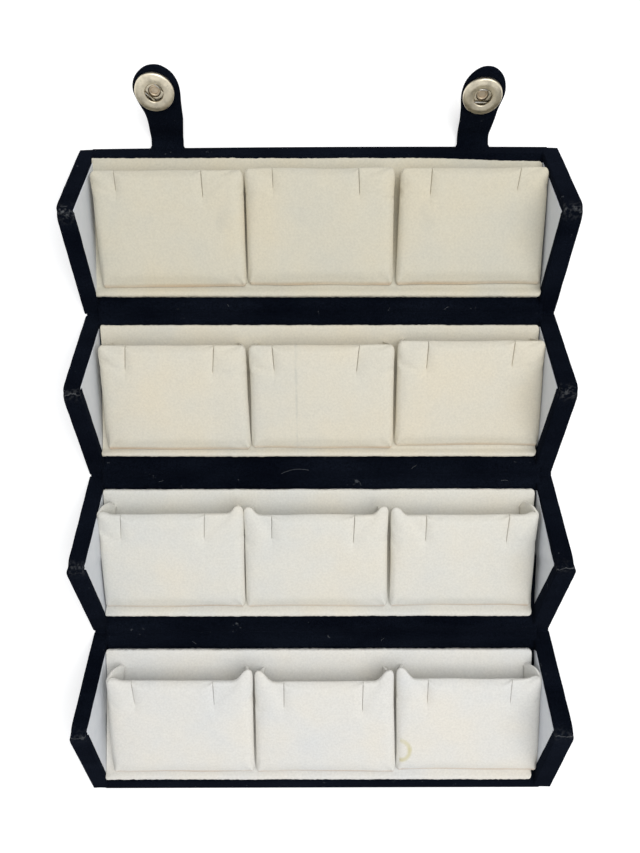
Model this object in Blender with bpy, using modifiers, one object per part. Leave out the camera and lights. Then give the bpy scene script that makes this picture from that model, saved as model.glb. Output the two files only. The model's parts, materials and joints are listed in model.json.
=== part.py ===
"""Roll-up earring box, laid open: four triangular trays in a chain, closed by two snap straps.

Metres, +Z up. X runs along the trays, +Y from tray 4 to tray 1, and the origin is the middle of
tray 2's underside. Each tray is drawn in its own section: u from 0 at its lower hinge line to
TRAY_WIDTH at its upper one, v up from its underside. Rolled up, every tray stays under the two
45 degree planes through its hinge lines, so the four triangles fill a square.
"""

import math

import bmesh
import bpy
from mathutils import Matrix, Vector

# The box
BOX_LENGTH = 0.1802
TRAY_WIDTH = 0.0620
GAP = 0.0003
CLOSING_GAP = 0.0002
OVERRUN = 0.0010

# The covered base of a tray
COVER_THICKNESS = 0.0005
BOARD_THICKNESS = 0.0012
COVER_CORNER = 0.0007
HINGE_CLOTH_THICKNESS = 0.0006

# The triangular ends
WALL_THICKNESS = 0.0054
WALL_APEX_RADIUS = 0.0026
WALL_EDGE = 0.0007
CARD_THICKNESS = 0.0008
CARD_INSET = 0.0008
CARD_APEX_RADIUS = 0.0020

# The cream lining, with a rolled lip along each long side
LINER_FLOOR = 0.0009
LIP_SETBACK = 0.0058
LIP_WIDTH = 0.0038
LIP_HEIGHT = 0.0031
FREE_LIP_SETBACK = 0.0046
FREE_LIP_WIDTH = 0.0032
FREE_LIP_HEIGHT = 0.0019

# The earring pads
PADS_PER_TRAY = 3
PAD_SPACING = 0.0006
PAD_SIDE_GAP = 0.0005
PAD_LENGTH = 0.0392
PAD_THICKNESS = 0.0024
PAD_FOOT_RISE = 0.0016
PAD_TOP_RISE = 0.0095
PAD_CORNER = 0.0034
PAD_ROUNDING = 0.0026
PAD_CROWN = 0.0006
PAD_EDGE = 0.0008
SLIT_WIDTH = 0.0008
SLIT_LENGTH = 0.0095
SLIT_SPACING = 0.0320
FACE_STEPS = 6
SLOPE_STEPS = 5

# The straps
STRAP_FROM_END = 0.0329
STRAP_THICKNESS = 0.0016
STRAP_EDGE = 0.0003
STRAP_NECK_WIDTH = 0.0124
STRAP_NECK_LENGTH = 0.0090
STRAP_HEAD_WIDTH = 0.0174
STRAP_HEAD_OVERHANG = 0.0010
STRAP_AXIS_HEIGHT = 0.0010
STRAP_REST_ANGLE = math.radians(60)
ROOT_FLARE = 0.0012
SNAP_REACH = 0.0200

# The snap fasteners
SOCKET_DIAMETER = 0.0150
SOCKET_HEIGHT = 0.0018
SOCKET_HOLE = 0.0069
SOCKET_EDGE = 0.0003
SOCKET_MOUTH = 0.0004
GROOVE_HEIGHT = 0.0009
GROOVE_DEPTH = 0.0016
SPRING_WIRE = 0.0005
SPRING_OPENING = 0.0044
SPRING_TURNS = {"left": math.radians(45), "right": math.radians(90)}
CAP_HEIGHT = 0.0015
CAP_RIM = 0.0005
POST_DIAMETER = 0.0042
POST_BORE = 0.0024
POST_RISE = 0.0002
STUD_FLANGE = 0.0096
STUD_FLANGE_THICKNESS = 0.0005
STUD_BALL = 0.0036
STUD_NECK = 0.0031
STUD_TIP = 0.0020
STUD_HEIGHT = 0.0024
STUD_BORE = 0.0021
EYELET_FLANGE = 0.0054
EYELET_FLANGE_THICKNESS = 0.0003
EYELET_POST = 0.0015
EYELET_BORE = 0.0007

# Steps round a turned piece and along an arc
TURN_STEPS = 24
SMALL_TURN_STEPS = 16
ARC_STEPS = 3

# Sizes that follow
TRAYS = (1, 2, 3, 4)
SIDES = {"left": -1, "right": 1}
BASE_THICKNESS = 2 * COVER_THICKNESS + 2 * GAP + BOARD_THICKNESS
CORNER_SETBACK = math.sqrt(2) * CLOSING_GAP
HINGE_SETBACK = BASE_THICKNESS + CORNER_SETBACK
INNER_HALF = BOX_LENGTH / 2 - WALL_THICKNESS
CARD_FACE = INNER_HALF - GAP - CARD_THICKNESS
LINER_BOTTOM = BASE_THICKNESS + GAP
LINER_TOP = LINER_BOTTOM + LINER_FLOOR
PAD_BOTTOM = LINER_TOP + GAP
PAD_ROW = 2 * (CARD_FACE - PAD_SIDE_GAP)
PAD_WIDTH = (PAD_ROW - (PADS_PER_TRAY - 1) * PAD_SPACING) / PADS_PER_TRAY
PAD_TILT = math.asin((PAD_TOP_RISE - PAD_FOOT_RISE) / PAD_LENGTH)
STRAP_PLACE = BOX_LENGTH / 2 - STRAP_FROM_END
STRAP_TOP = STRAP_THICKNESS / 2
SOCKET_BOTTOM = STRAP_TOP + GAP
STUD_TOP = GAP
STACK_HEIGHT = STUD_TOP + STUD_FLANGE_THICKNESS + GAP + SOCKET_HEIGHT + SOCKET_BOTTOM
STRAP_AXIS = TRAY_WIDTH + STACK_HEIGHT
STUD_PLACE = STRAP_AXIS_HEIGHT + SNAP_REACH
TRAY_4_TILT = math.atan(STUD_HEIGHT / (TRAY_WIDTH - STUD_PLACE - STUD_TIP / 2))

BLACK_VELVET = ("black_velvet", (0.006, 0.008, 0.014), 0.9, 0.0)
GREY_BOARD = ("grey_board", (0.35, 0.34, 0.32), 0.9, 0.0)
WHITE_CARD = ("white_card", (0.78, 0.81, 0.84), 0.5, 0.0)
CREAM_VELVET = ("cream_velvet", (0.74, 0.70, 0.60), 0.85, 0.0)
PALE_VELVET = ("pale_velvet", (0.76, 0.75, 0.70), 0.85, 0.0)
NICKEL = ("nickel", (0.72, 0.68, 0.60), 0.25, 1.0)
SPRING_STEEL = ("spring_steel", (0.60, 0.55, 0.48), 0.3, 1.0)


def clear_scene():
    for obj in list(bpy.data.objects):
        bpy.data.objects.remove(obj, do_unlink=True)


def new_collection(name):
    collection = bpy.data.collections.new(name)
    bpy.context.scene.collection.children.link(collection)
    return collection


def material(finish):
    name, colour, roughness, metallic = finish
    if name in bpy.data.materials:
        return bpy.data.materials[name]
    made = bpy.data.materials.new(name)
    made.use_nodes = True
    shader = made.node_tree.nodes["Principled BSDF"]
    shader.inputs["Base Color"].default_value = (*colour, 1.0)
    shader.inputs["Roughness"].default_value = roughness
    shader.inputs["Metallic"].default_value = metallic
    made.diffuse_color = (*colour, 1.0)
    return made


def place(name, mesh, finish, parent, location):
    """One named piece of the box, held by its tray's or its strap's empty."""
    obj = bpy.data.objects.new(name, mesh)
    PARTS.objects.link(obj)
    obj.parent = parent
    obj.location = location
    if not mesh.materials:
        mesh.materials.append(material(finish))
    return obj


def helper(name, mesh):
    """A cutter or a form that isn't a piece of the box."""
    obj = bpy.data.objects.new(name, mesh)
    CUTTERS.objects.link(obj)
    obj.hide_render = True
    obj.display_type = "WIRE"
    return obj


def empty(name, location, turn=0.0, parent=None):
    obj = bpy.data.objects.new(name, None)
    PARTS.objects.link(obj)
    obj.parent = parent
    obj.location = location
    obj.rotation_euler.x = turn
    return obj


def evaluated_mesh(obj, name):
    graph = bpy.context.evaluated_depsgraph_get()
    mesh = bpy.data.meshes.new_from_object(obj.evaluated_get(graph))
    mesh.name = name
    return mesh


def smooth(mesh):
    mesh.shade_smooth()
    mesh.set_sharp_from_angle(angle=math.radians(35))


def box_mesh(name, size):
    mesh = bpy.data.meshes.new(name)
    shape = bmesh.new()
    bmesh.ops.create_cube(shape, size=1.0, matrix=Matrix.Diagonal((*size, 1.0)))
    shape.to_mesh(mesh)
    shape.free()
    return mesh


def bevel(obj, width, segments=2, angle=math.radians(50)):
    modifier = obj.modifiers.new("rounded_edges", "BEVEL")
    modifier.width = width
    modifier.segments = segments
    modifier.limit_method = "ANGLE"
    modifier.angle_limit = angle


def cut(obj, cutter):
    modifier = obj.modifiers.new("cut_" + cutter.name, "BOOLEAN")
    modifier.operation = "DIFFERENCE"
    modifier.solver = "EXACT"
    modifier.object = cutter


def arc(centre, radius, start, end, steps=ARC_STEPS):
    """Points of an arc, from one angle in degrees to the other."""
    points = []
    for step in range(steps + 1):
        angle = math.radians(start + (end - start) * step / steps)
        points.append((centre[0] + radius * math.cos(angle), centre[1] + radius * math.sin(angle)))
    return points


def rounded(corners, steps=ARC_STEPS):
    """The outline through corners given as ((x, y), radius), each turned into an arc."""
    points = []
    for index, (corner, radius) in enumerate(corners):
        here = Vector(corner)
        if radius == 0:
            points.append(tuple(here))
            continue
        back = (Vector(corners[index - 1][0]) - here).normalized()
        ahead = (Vector(corners[(index + 1) % len(corners)][0]) - here).normalized()
        half = math.acos(max(-1.0, min(1.0, back.dot(ahead)))) / 2
        reach = radius / math.tan(half)
        centre = here + (back + ahead).normalized() * radius / math.sin(half)
        first = here + back * reach - centre
        last = here + ahead * reach - centre
        start = math.degrees(math.atan2(first.y, first.x))
        sweep = math.degrees(math.atan2(last.y, last.x)) - start
        sweep = (sweep + 180) % 360 - 180
        points += arc(centre, radius, start, start + sweep, steps)
    return points


def outline_mesh(name, loops, thickness):
    """A flat outline, with its inner loops as holes, extruded along Z about Z = 0."""
    curve = bpy.data.curves.new(name, "CURVE")
    curve.dimensions = "2D"
    curve.fill_mode = "BOTH"
    curve.extrude = thickness / 2
    for loop in loops:
        spline = curve.splines.new("POLY")
        spline.points.add(len(loop) - 1)
        for point, (x, y) in zip(spline.points, loop):
            point.co = (x, y, 0.0, 1.0)
        spline.use_cyclic_u = True
    guide = bpy.data.objects.new(name + "_outline", curve)
    CUTTERS.objects.link(guide)
    bpy.context.view_layer.update()
    mesh = evaluated_mesh(guide, name)
    bpy.data.objects.remove(guide, do_unlink=True)
    shape = bmesh.new()
    shape.from_mesh(mesh)
    bmesh.ops.remove_doubles(shape, verts=shape.verts, dist=GAP / 100)
    bmesh.ops.recalc_face_normals(shape, faces=shape.faces)
    shape.to_mesh(mesh)
    shape.free()
    return mesh


def section_mesh(name, loops, length):
    """A tray section of (u, v) loops, extruded along X about X = 0."""
    mesh = outline_mesh(name, loops, length)
    mesh.transform(Matrix(((0, 0, 1, 0), (1, 0, 0, 0), (0, 1, 0, 0), (0, 0, 0, 1))))
    return mesh


def turned_mesh(name, profile, steps, closed):
    """A profile of (radius, height) points turned round Z."""
    mesh = bpy.data.meshes.new(name + "_profile")
    edges = [(index, index + 1) for index in range(len(profile) - 1)]
    if closed:
        edges.append((len(profile) - 1, 0))
    mesh.from_pydata([(radius, 0.0, height) for radius, height in profile], edges, [])
    guide = bpy.data.objects.new(name + "_turning", mesh)
    CUTTERS.objects.link(guide)
    screw = guide.modifiers.new("turned", "SCREW")
    screw.steps = steps
    screw.render_steps = steps
    screw.use_merge_vertices = True
    screw.merge_threshold = GAP / 30
    bpy.context.view_layer.update()
    turned = evaluated_mesh(guide, name)
    bpy.data.objects.remove(guide, do_unlink=True)
    smooth(turned)
    return turned


def tray_axis(tray):
    """The section coordinate u of the hinge line that carries this tray, or 0 on tray 2."""
    return TRAY_WIDTH if tray > 2 else 0.0


def lower_line(tray):
    """Where this tray's lower hinge line lies along Y, with tray 2 astride the origin."""
    return (1.5 - tray) * TRAY_WIDTH


def tray_empties():
    """An empty on each tray's hinge line; tray 4 leans on the studs under its free edge."""
    empties = {}
    for tray in TRAYS:
        turn = -TRAY_4_TILT if tray == 4 else 0.0
        location = (0.0, lower_line(tray) + tray_axis(tray), 0.0)
        empties[tray] = empty(f"tray_{tray}_axis", location, turn)
    return empties


def free_edges(tray):
    """Whether the lower and the upper long edge of this tray is free, not hinged."""
    return tray == TRAYS[-1], tray == TRAYS[0]


def cover_outline(tray):
    """The covered base: upright edges at a hinge, and a mitred edge where the box closes."""
    corners = []
    for free, upper in zip(free_edges(tray), (False, True)):
        foot = (CORNER_SETBACK, 0.0) if free else (HINGE_SETBACK, COVER_CORNER)
        side = [((foot[0], 0.0), foot[1]), ((HINGE_SETBACK, BASE_THICKNESS), COVER_CORNER)]
        if upper:
            side = [((TRAY_WIDTH - u, v), radius) for (u, v), radius in side]
        else:
            side.reverse()
        corners += side
    return rounded(corners, 2)


def stud_places(tray):
    if tray != TRAYS[-1]:
        return []
    return [(side * STRAP_PLACE, STUD_PLACE) for side in SIDES.values()]


def add_cover(tray, parent):
    """The velvet sleeve round the board, open at both ends, where the end walls close it."""
    inner_start = HINGE_SETBACK + COVER_THICKNESS
    inner_end = TRAY_WIDTH - inner_start
    inner_top = BASE_THICKNESS - COVER_THICKNESS
    cavity = [
        (inner_start, COVER_THICKNESS),
        (inner_end, COVER_THICKNESS),
        (inner_end, inner_top),
        (inner_start, inner_top),
    ]
    length = 2 * (INNER_HALF - GAP)
    mesh = section_mesh(f"tray_{tray}_cover", [cover_outline(tray), cavity], length)
    cover = place(f"tray_{tray}_cover", mesh, BLACK_VELVET, parent, (0.0, -tray_axis(tray), 0.0))
    for index, (x, u) in enumerate(stud_places(tray)):
        radius = EYELET_POST / 2 + GAP
        hole = post_hole(f"cover_hole_{index}", radius, COVER_THICKNESS + OVERRUN, parent)
        hole.location = (x, u - tray_axis(tray), 0.0)
        cut(cover, hole)


def post_hole(name, radius, height, parent):
    """A round cutter, standing on the height that it is placed at and reaching as far below it."""
    mesh = bpy.data.meshes.new(name)
    shape = bmesh.new()
    bmesh.ops.create_cone(
        shape, cap_ends=True, segments=SMALL_TURN_STEPS, radius1=radius, radius2=radius, depth=2 * height
    )
    shape.to_mesh(mesh)
    shape.free()
    cutter = helper(name, mesh)
    cutter.parent = parent
    return cutter


def add_board(tray, parent):
    """The grey board inside the cover; tray 4's is pressed in where its eyelets are set."""
    setback = HINGE_SETBACK + COVER_THICKNESS + GAP
    bottom = COVER_THICKNESS + GAP
    size = (2 * (INNER_HALF - GAP), TRAY_WIDTH - 2 * setback, BOARD_THICKNESS)
    mesh = box_mesh(f"tray_{tray}_board", size)
    middle = (0.0, TRAY_WIDTH / 2 - tray_axis(tray), bottom + BOARD_THICKNESS / 2)
    board = place(f"tray_{tray}_board", mesh, GREY_BOARD, parent, middle)
    for index, (x, u) in enumerate(stud_places(tray)):
        through = post_hole(f"board_hole_{index}", EYELET_POST / 2 + GAP, BOARD_THICKNESS + OVERRUN, parent)
        through.location = (x, u - tray_axis(tray), bottom)
        cut(board, through)
        seat_depth = EYELET_FLANGE_THICKNESS + GAP
        seat = post_hole(f"board_seat_{index}", EYELET_FLANGE / 2 + GAP, seat_depth, parent)
        seat.location = (x, u - tray_axis(tray), bottom + BOARD_THICKNESS)
        cut(board, seat)


def triangle(inset, bottom, apex_radius, foot_radius):
    """A tray's end triangle, kept this far inside its closing planes and above this height."""
    setback = math.sqrt(2) * inset
    peak = TRAY_WIDTH / 2
    corners = [
        ((bottom + setback, bottom), foot_radius),
        ((TRAY_WIDTH - bottom - setback, bottom), foot_radius),
        ((peak, peak - setback), apex_radius),
    ]
    return rounded(corners)


def add_end_walls(tray, parent):
    outline = triangle(CLOSING_GAP, 0.0, WALL_APEX_RADIUS, 0.0)
    middle = INNER_HALF + WALL_THICKNESS / 2
    for side, sign in SIDES.items():
        mesh = section_mesh(f"end_wall_{tray}_{side}", [outline], WALL_THICKNESS)
        location = (sign * middle, -tray_axis(tray), 0.0)
        wall = place(f"tray_{tray}_end_wall_{side}", mesh, BLACK_VELVET, parent, location)
        bevel(wall, WALL_EDGE)


def add_end_cards(tray, parent):
    """The smooth white card that lines the inside of each end wall."""
    outline = triangle(CLOSING_GAP + CARD_INSET, LINER_BOTTOM, CARD_APEX_RADIUS, 0.0)
    middle = CARD_FACE + CARD_THICKNESS / 2
    for side, sign in SIDES.items():
        mesh = section_mesh(f"end_card_{tray}_{side}", [outline], CARD_THICKNESS)
        location = (sign * middle, -tray_axis(tray), 0.0)
        place(f"tray_{tray}_end_card_{side}", mesh, WHITE_CARD, parent, location)


def lip(free):
    """Setback, width and height of the lining's lip along a free or a hinged edge."""
    if free:
        return FREE_LIP_SETBACK, FREE_LIP_WIDTH, FREE_LIP_HEIGHT
    return LIP_SETBACK, LIP_WIDTH, LIP_HEIGHT


def lip_outline(free):
    """A lip at the lower edge, from its outer foot over its round top to the floor."""
    setback, width, height = lip(free)
    radius = width / 2
    centre = (setback + radius, LINER_BOTTOM + height - radius)
    over = arc(centre, radius, 180, 0, 2 * ARC_STEPS)
    return [(setback, LINER_BOTTOM)] + over + [(setback + width, LINER_TOP)]


def liner_finish(tray):
    return CREAM_VELVET if tray < 3 else PALE_VELVET


def add_liner(tray, parent):
    lower_free, upper_free = free_edges(tray)
    outline = lip_outline(lower_free)
    outline += [(TRAY_WIDTH - u, v) for u, v in reversed(lip_outline(upper_free))]
    mesh = section_mesh(f"tray_{tray}_liner", [outline], 2 * (CARD_FACE - GAP))
    smooth(mesh)
    place(f"tray_{tray}_liner", mesh, liner_finish(tray), parent, (0.0, -tray_axis(tray), 0.0))


def pad_section():
    """The outer skin of a pad across its width: up one flange, over the face, down the other."""
    half = PAD_WIDTH / 2
    depth = PAD_TOP_RISE / math.cos(PAD_TILT) + OVERRUN
    corner = (half - PAD_CORNER, -PAD_CORNER)
    side = [(half, -depth)] + arc(corner, PAD_CORNER, 0, 90)
    flat = half - PAD_CORNER
    face = [(flat * (1 - 2 * step / FACE_STEPS), 0.0) for step in range(1, FACE_STEPS)]
    other = [(-x, z) for x, z in reversed(side)]
    return [(x, z) for x, z in reversed(side + face + other)]


def pad_crown(x, share):
    """How far the padding stands up at this place across the face and share of the slope."""
    across = max(0.0, 1 - (2 * x / PAD_WIDTH) ** 2)
    return PAD_CROWN * across * math.sin(math.pi * share)


def pad_skin():
    """The pad's open outer surface: a grid laid over its section and crowned."""
    section = pad_section()
    columns = len(section) - 1
    shape = bmesh.new()
    bmesh.ops.create_grid(shape, x_segments=columns, y_segments=SLOPE_STEPS, size=1.0)
    for vertex in shape.verts:
        column = round((vertex.co.x + 1) / 2 * columns)
        share = (vertex.co.y + 1) / 2
        x, z = section[column]
        raised = pad_crown(x, share) if z == 0 else 0.0
        vertex.co = (x, share * PAD_LENGTH, z + raised)
    mesh = bpy.data.meshes.new("pad_skin")
    shape.to_mesh(mesh)
    shape.free()
    return mesh


def pad_floor_cutter():
    """A slab whose top face is the lining's floor, seen in the pad's own tilted frame."""
    depth = PAD_TOP_RISE + PAD_THICKNESS
    reach = PAD_LENGTH + 2 * depth
    cutter = helper("pad_floor", box_mesh("pad_floor", (PAD_WIDTH + 2 * OVERRUN, 2 * reach, 2 * depth)))
    cutter.rotation_euler.x = -PAD_TILT
    below = Vector((0.0, 0.0, -PAD_FOOT_RISE - depth))
    cutter.location = Matrix.Rotation(-PAD_TILT, 3, "X") @ below
    return cutter


def pad_slit_cutter(name, sign):
    """A slit runs down from the pad's top edge."""
    length = SLIT_LENGTH + OVERRUN
    height = PAD_THICKNESS + 2 * (PAD_CROWN + OVERRUN)
    cutter = helper(name, box_mesh(name, (SLIT_WIDTH, length, height)))
    along = PAD_LENGTH - SLIT_LENGTH + length / 2
    cutter.location = (sign * SLIT_SPACING / 2, along, -PAD_THICKNESS / 2)
    return cutter


def pad_corner_cutter(name, sign, at_top):
    """Takes one corner of the pad down to an arc, through its face and the end of its flange."""
    half = PAD_WIDTH / 2
    start = half - PAD_ROUNDING
    loop = [(start, -OVERRUN)]
    loop += arc((start, PAD_ROUNDING), PAD_ROUNDING, -90, 0)
    loop += [(half + OVERRUN, PAD_ROUNDING), (half + OVERRUN, -OVERRUN)]
    loop = [(sign * x, PAD_LENGTH - y if at_top else y) for x, y in loop]
    return helper(name, outline_mesh(name, [loop], 2 * (PAD_TOP_RISE + PAD_THICKNESS)))


def pad_mesh(name):
    """A padded card folded down at both sides, cut level where it stands, with two slits."""
    form = helper("pad_form", pad_skin())
    padding = form.modifiers.new("padding", "SOLIDIFY")
    padding.thickness = PAD_THICKNESS
    padding.offset = -1
    padding.use_even_offset = True
    bevel(form, PAD_EDGE)
    cut(form, pad_floor_cutter())
    for side, sign in SIDES.items():
        cut(form, pad_slit_cutter(f"pad_slit_{side}", sign))
        cut(form, pad_corner_cutter(f"pad_foot_{side}", sign, at_top=False))
        cut(form, pad_corner_cutter(f"pad_top_{side}", sign, at_top=True))
    bpy.context.view_layer.update()
    mesh = evaluated_mesh(form, name)
    smooth(mesh)
    return mesh


def add_pads(tray, parent, mesh):
    """The pads stand side by side between the end cards, their feet against the lower lip."""
    setback, width, _ = lip(free_edges(tray)[0])
    foot = setback + width + GAP
    for index, name in enumerate(("left", "middle", "right")):
        x = (index - (PADS_PER_TRAY - 1) / 2) * (PAD_WIDTH + PAD_SPACING)
        location = (x, foot - tray_axis(tray), PAD_BOTTOM + PAD_FOOT_RISE)
        pad = place(f"tray_{tray}_pad_{name}", mesh, liner_finish(tray), parent, location)
        pad.rotation_euler.x = PAD_TILT


def add_hinge_cloth(upper_tray, parent):
    """The strip of cloth in the fold between two trays."""
    width = 2 * (HINGE_SETBACK - GAP)
    mesh = box_mesh("hinge_cloth", (2 * (INNER_HALF - GAP), width, HINGE_CLOTH_THICKNESS))
    location = (0.0, lower_line(upper_tray) - parent.location.y, HINGE_CLOTH_THICKNESS / 2)
    place(f"hinge_cloth_{upper_tray}_{upper_tray + 1}", mesh, BLACK_VELVET, parent, location)


def strap_outline():
    """The strap from its root, up the neck and round its head."""
    neck = STRAP_NECK_WIDTH / 2
    head = STRAP_HEAD_WIDTH / 2
    centre = (0.0, SNAP_REACH + STRAP_HEAD_OVERHANG)
    side = [(neck, 0.0), (neck, STRAP_NECK_LENGTH)]
    bow_steps = 2 * ARC_STEPS
    for step in range(1, bow_steps):
        share = step / bow_steps
        ease = (1 - math.cos(math.pi * share)) / 2
        y = STRAP_NECK_LENGTH + (centre[1] - STRAP_NECK_LENGTH) * share
        side.append((neck + (head - neck) * ease, y))
    over = arc(centre, head, 0, 180, 4 * ARC_STEPS)
    return side + over + [(-x, y) for x, y in reversed(side)]


def circle(centre, radius, steps):
    return arc(centre, radius, 0, 360 * (steps - 1) / steps, steps - 1)


def add_strap(side, axis):
    post_clearance = POST_DIAMETER / 2 + GAP
    loops = [strap_outline(), circle((0.0, SNAP_REACH), post_clearance, SMALL_TURN_STEPS)]
    mesh = outline_mesh(f"strap_{side}", loops, STRAP_THICKNESS)
    strap = place(f"strap_{side}", mesh, BLACK_VELVET, axis, (0.0, 0.0, 0.0))
    bevel(strap, STRAP_EDGE, segments=1)


def add_strap_root(side, sign, parent):
    """The sewn end of the strap at tray 1's free edge, flared where it leaves the cover."""
    neck = STRAP_NECK_WIDTH / 2
    start = TRAY_WIDTH + GAP
    end = STRAP_AXIS - STRAP_TOP - GAP
    right = [(neck + ROOT_FLARE, start)]
    right += arc((neck + ROOT_FLARE, start + ROOT_FLARE), ROOT_FLARE, 270, 180)[1:]
    right += [(neck, end)]
    loop = right + [(-x, y) for x, y in reversed(right)]
    mesh = outline_mesh(f"strap_root_{side}", [loop], STRAP_THICKNESS)
    location = (sign * STRAP_PLACE, 0.0, STRAP_AXIS_HEIGHT)
    place(f"strap_root_{side}", mesh, BLACK_VELVET, parent, location)


def socket_profile():
    """The socket's section: a ring whose hole opens into a groove for the spring."""
    outer = SOCKET_DIAMETER / 2
    hole = SOCKET_HOLE / 2
    groove_low = (SOCKET_HEIGHT - GROOVE_HEIGHT) / 2
    groove_high = groove_low + GROOVE_HEIGHT
    return [
        (outer - SOCKET_EDGE, SOCKET_HEIGHT),
        (outer, SOCKET_HEIGHT - SOCKET_EDGE),
        (outer, SOCKET_EDGE),
        (outer - SOCKET_EDGE, 0.0),
        (hole, 0.0),
        (hole, groove_low),
        (hole + GROOVE_DEPTH, groove_low),
        (hole + GROOVE_DEPTH, groove_high),
        (hole, groove_high),
        (hole, SOCKET_HEIGHT - SOCKET_MOUTH),
        (hole + SOCKET_MOUTH, SOCKET_HEIGHT),
    ]


def add_socket(side, axis):
    mesh = turned_mesh(f"snap_socket_{side}", socket_profile(), TURN_STEPS, closed=True)
    place(f"snap_socket_{side}", mesh, NICKEL, axis, (0.0, SNAP_REACH, SOCKET_BOTTOM))


def spring_route():
    """A hairpin of wire: an arc inside the groove and two runs that the stud snaps between."""
    radius = (SOCKET_HOLE + GROOVE_DEPTH) / 2
    run = (SPRING_OPENING + SPRING_WIRE) / 2
    corner = math.degrees(math.acos(run / radius))
    bow = arc((0.0, 0.0), radius, corner, 180 - corner, 2 * ARC_STEPS)
    end = -radius * math.sin(math.radians(corner))
    return [(run, end)] + bow + [(-run, end)]


def add_spring(side, axis):
    curve = bpy.data.curves.new(f"socket_spring_{side}", "CURVE")
    curve.dimensions = "3D"
    curve.bevel_depth = SPRING_WIRE / 2
    curve.bevel_resolution = 1
    curve.use_fill_caps = True
    route = spring_route()
    spline = curve.splines.new("POLY")
    spline.points.add(len(route) - 1)
    for point, (x, y) in zip(spline.points, route):
        point.co = (x, y, 0.0, 1.0)
    curve.materials.append(material(SPRING_STEEL))
    spring = bpy.data.objects.new(f"socket_spring_{side}", curve)
    PARTS.objects.link(spring)
    spring.parent = axis
    spring.location = (0.0, SNAP_REACH, SOCKET_BOTTOM + SOCKET_HEIGHT / 2)
    spring.rotation_euler.z = SPRING_TURNS[side]


def cap_profile():
    """A domed cap with a hollow post that stands through the strap, drawn post upwards."""
    post_top = STRAP_THICKNESS + GAP + POST_RISE
    post = POST_DIAMETER / 2
    bore = POST_BORE / 2
    outer = SOCKET_DIAMETER / 2
    dome = []
    for step in range(2 * ARC_STEPS):
        angle = math.pi / 2 * step / (2 * ARC_STEPS)
        drop = CAP_RIM + (CAP_HEIGHT - CAP_RIM) * math.sin(angle)
        dome.append((outer * math.cos(angle), -drop))
    return [
        (0.0, GAP),
        (bore, GAP),
        (bore, post_top),
        (post, post_top),
        (post, 0.0),
        (outer, 0.0),
        *dome,
        (0.0, -CAP_HEIGHT),
    ]


def add_cap(side, axis):
    mesh = turned_mesh(f"snap_cap_{side}", cap_profile(), TURN_STEPS, closed=False)
    place(f"snap_cap_{side}", mesh, NICKEL, axis, (0.0, SNAP_REACH, -STRAP_TOP - GAP))


def stud_profile():
    """The stud hangs from its flange: a neck, a ball and a flat tip, with a bore from above."""
    ball_top = -STUD_TOP - STUD_FLANGE_THICKNESS
    ball_height = STUD_HEIGHT + ball_top
    waist = ball_top - ball_height / 4
    widest = ball_top - ball_height / 2
    bore = STUD_BORE / 2
    return [
        (0.0, ball_top),
        (bore, ball_top),
        (bore, -STUD_TOP),
        (STUD_FLANGE / 2, -STUD_TOP),
        (STUD_FLANGE / 2, ball_top),
        (STUD_NECK / 2, ball_top),
        (STUD_NECK / 2, waist),
        (STUD_BALL / 2, widest),
        (STUD_BALL / 2, widest - ball_height / 6),
        (STUD_TIP / 2, -STUD_HEIGHT),
        (0.0, -STUD_HEIGHT),
    ]


def eyelet_profile():
    """The eyelet's flange lies in the board, and its tube reaches down into the stud's bore."""
    flange_top = COVER_THICKNESS + GAP + BOARD_THICKNESS - GAP / 2
    flange_bottom = flange_top - EYELET_FLANGE_THICKNESS
    end = -STUD_TOP - STUD_FLANGE_THICKNESS + GAP
    post = EYELET_POST / 2
    bore = EYELET_BORE / 2
    return [
        (EYELET_FLANGE / 2, flange_top),
        (EYELET_FLANGE / 2, flange_bottom),
        (post, flange_bottom),
        (post, end),
        (bore, end),
        (bore, flange_top),
    ]


def add_studs(parent):
    for (name, _), (x, u) in zip(SIDES.items(), stud_places(TRAYS[-1])):
        location = (x, u - tray_axis(TRAYS[-1]), 0.0)
        stud = turned_mesh(f"snap_stud_{name}", stud_profile(), SMALL_TURN_STEPS, closed=False)
        place(f"snap_stud_{name}", stud, NICKEL, parent, location)
        eyelet = turned_mesh(f"stud_eyelet_{name}", eyelet_profile(), SMALL_TURN_STEPS, closed=True)
        place(f"stud_eyelet_{name}", eyelet, NICKEL, parent, location)


def add_straps(parent):
    for side, sign in SIDES.items():
        location = (sign * STRAP_PLACE, STRAP_AXIS, STRAP_AXIS_HEIGHT)
        axis = empty(f"strap_{side}_axis", location, STRAP_REST_ANGLE, parent)
        add_strap_root(side, sign, parent)
        add_strap(side, axis)
        add_socket(side, axis)
        add_spring(side, axis)
        add_cap(side, axis)


def build():
    empties = tray_empties()
    cream_pad = pad_mesh("cream_pad")
    pale_pad = cream_pad.copy()
    for tray, parent in empties.items():
        add_cover(tray, parent)
        add_board(tray, parent)
        add_end_walls(tray, parent)
        add_end_cards(tray, parent)
        add_liner(tray, parent)
        add_pads(tray, parent, cream_pad if tray < 3 else pale_pad)
    add_hinge_cloth(1, empties[2])
    add_hinge_cloth(2, empties[2])
    add_hinge_cloth(3, empties[3])
    add_straps(empties[1])
    add_studs(empties[4])


clear_scene()
PARTS = new_collection("earring_organizer_box")
CUTTERS = new_collection("cutters")
build()
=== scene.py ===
"""Looks of the roll-up earring box: velvet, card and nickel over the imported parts, at rest.

Metres, in the part's own frame. X runs along the trays, +Y from tray 4 to tray 1, +Z up. A tray is
drawn in its section: u from its lower hinge line, v up from its underside.
"""

import json
from math import acos, atan2, ceil, copysign, cos, degrees, exp, hypot, pi, radians, sin, sqrt, tan

import bmesh
import bpy
from mathutils import Matrix, Vector, noise


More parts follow.
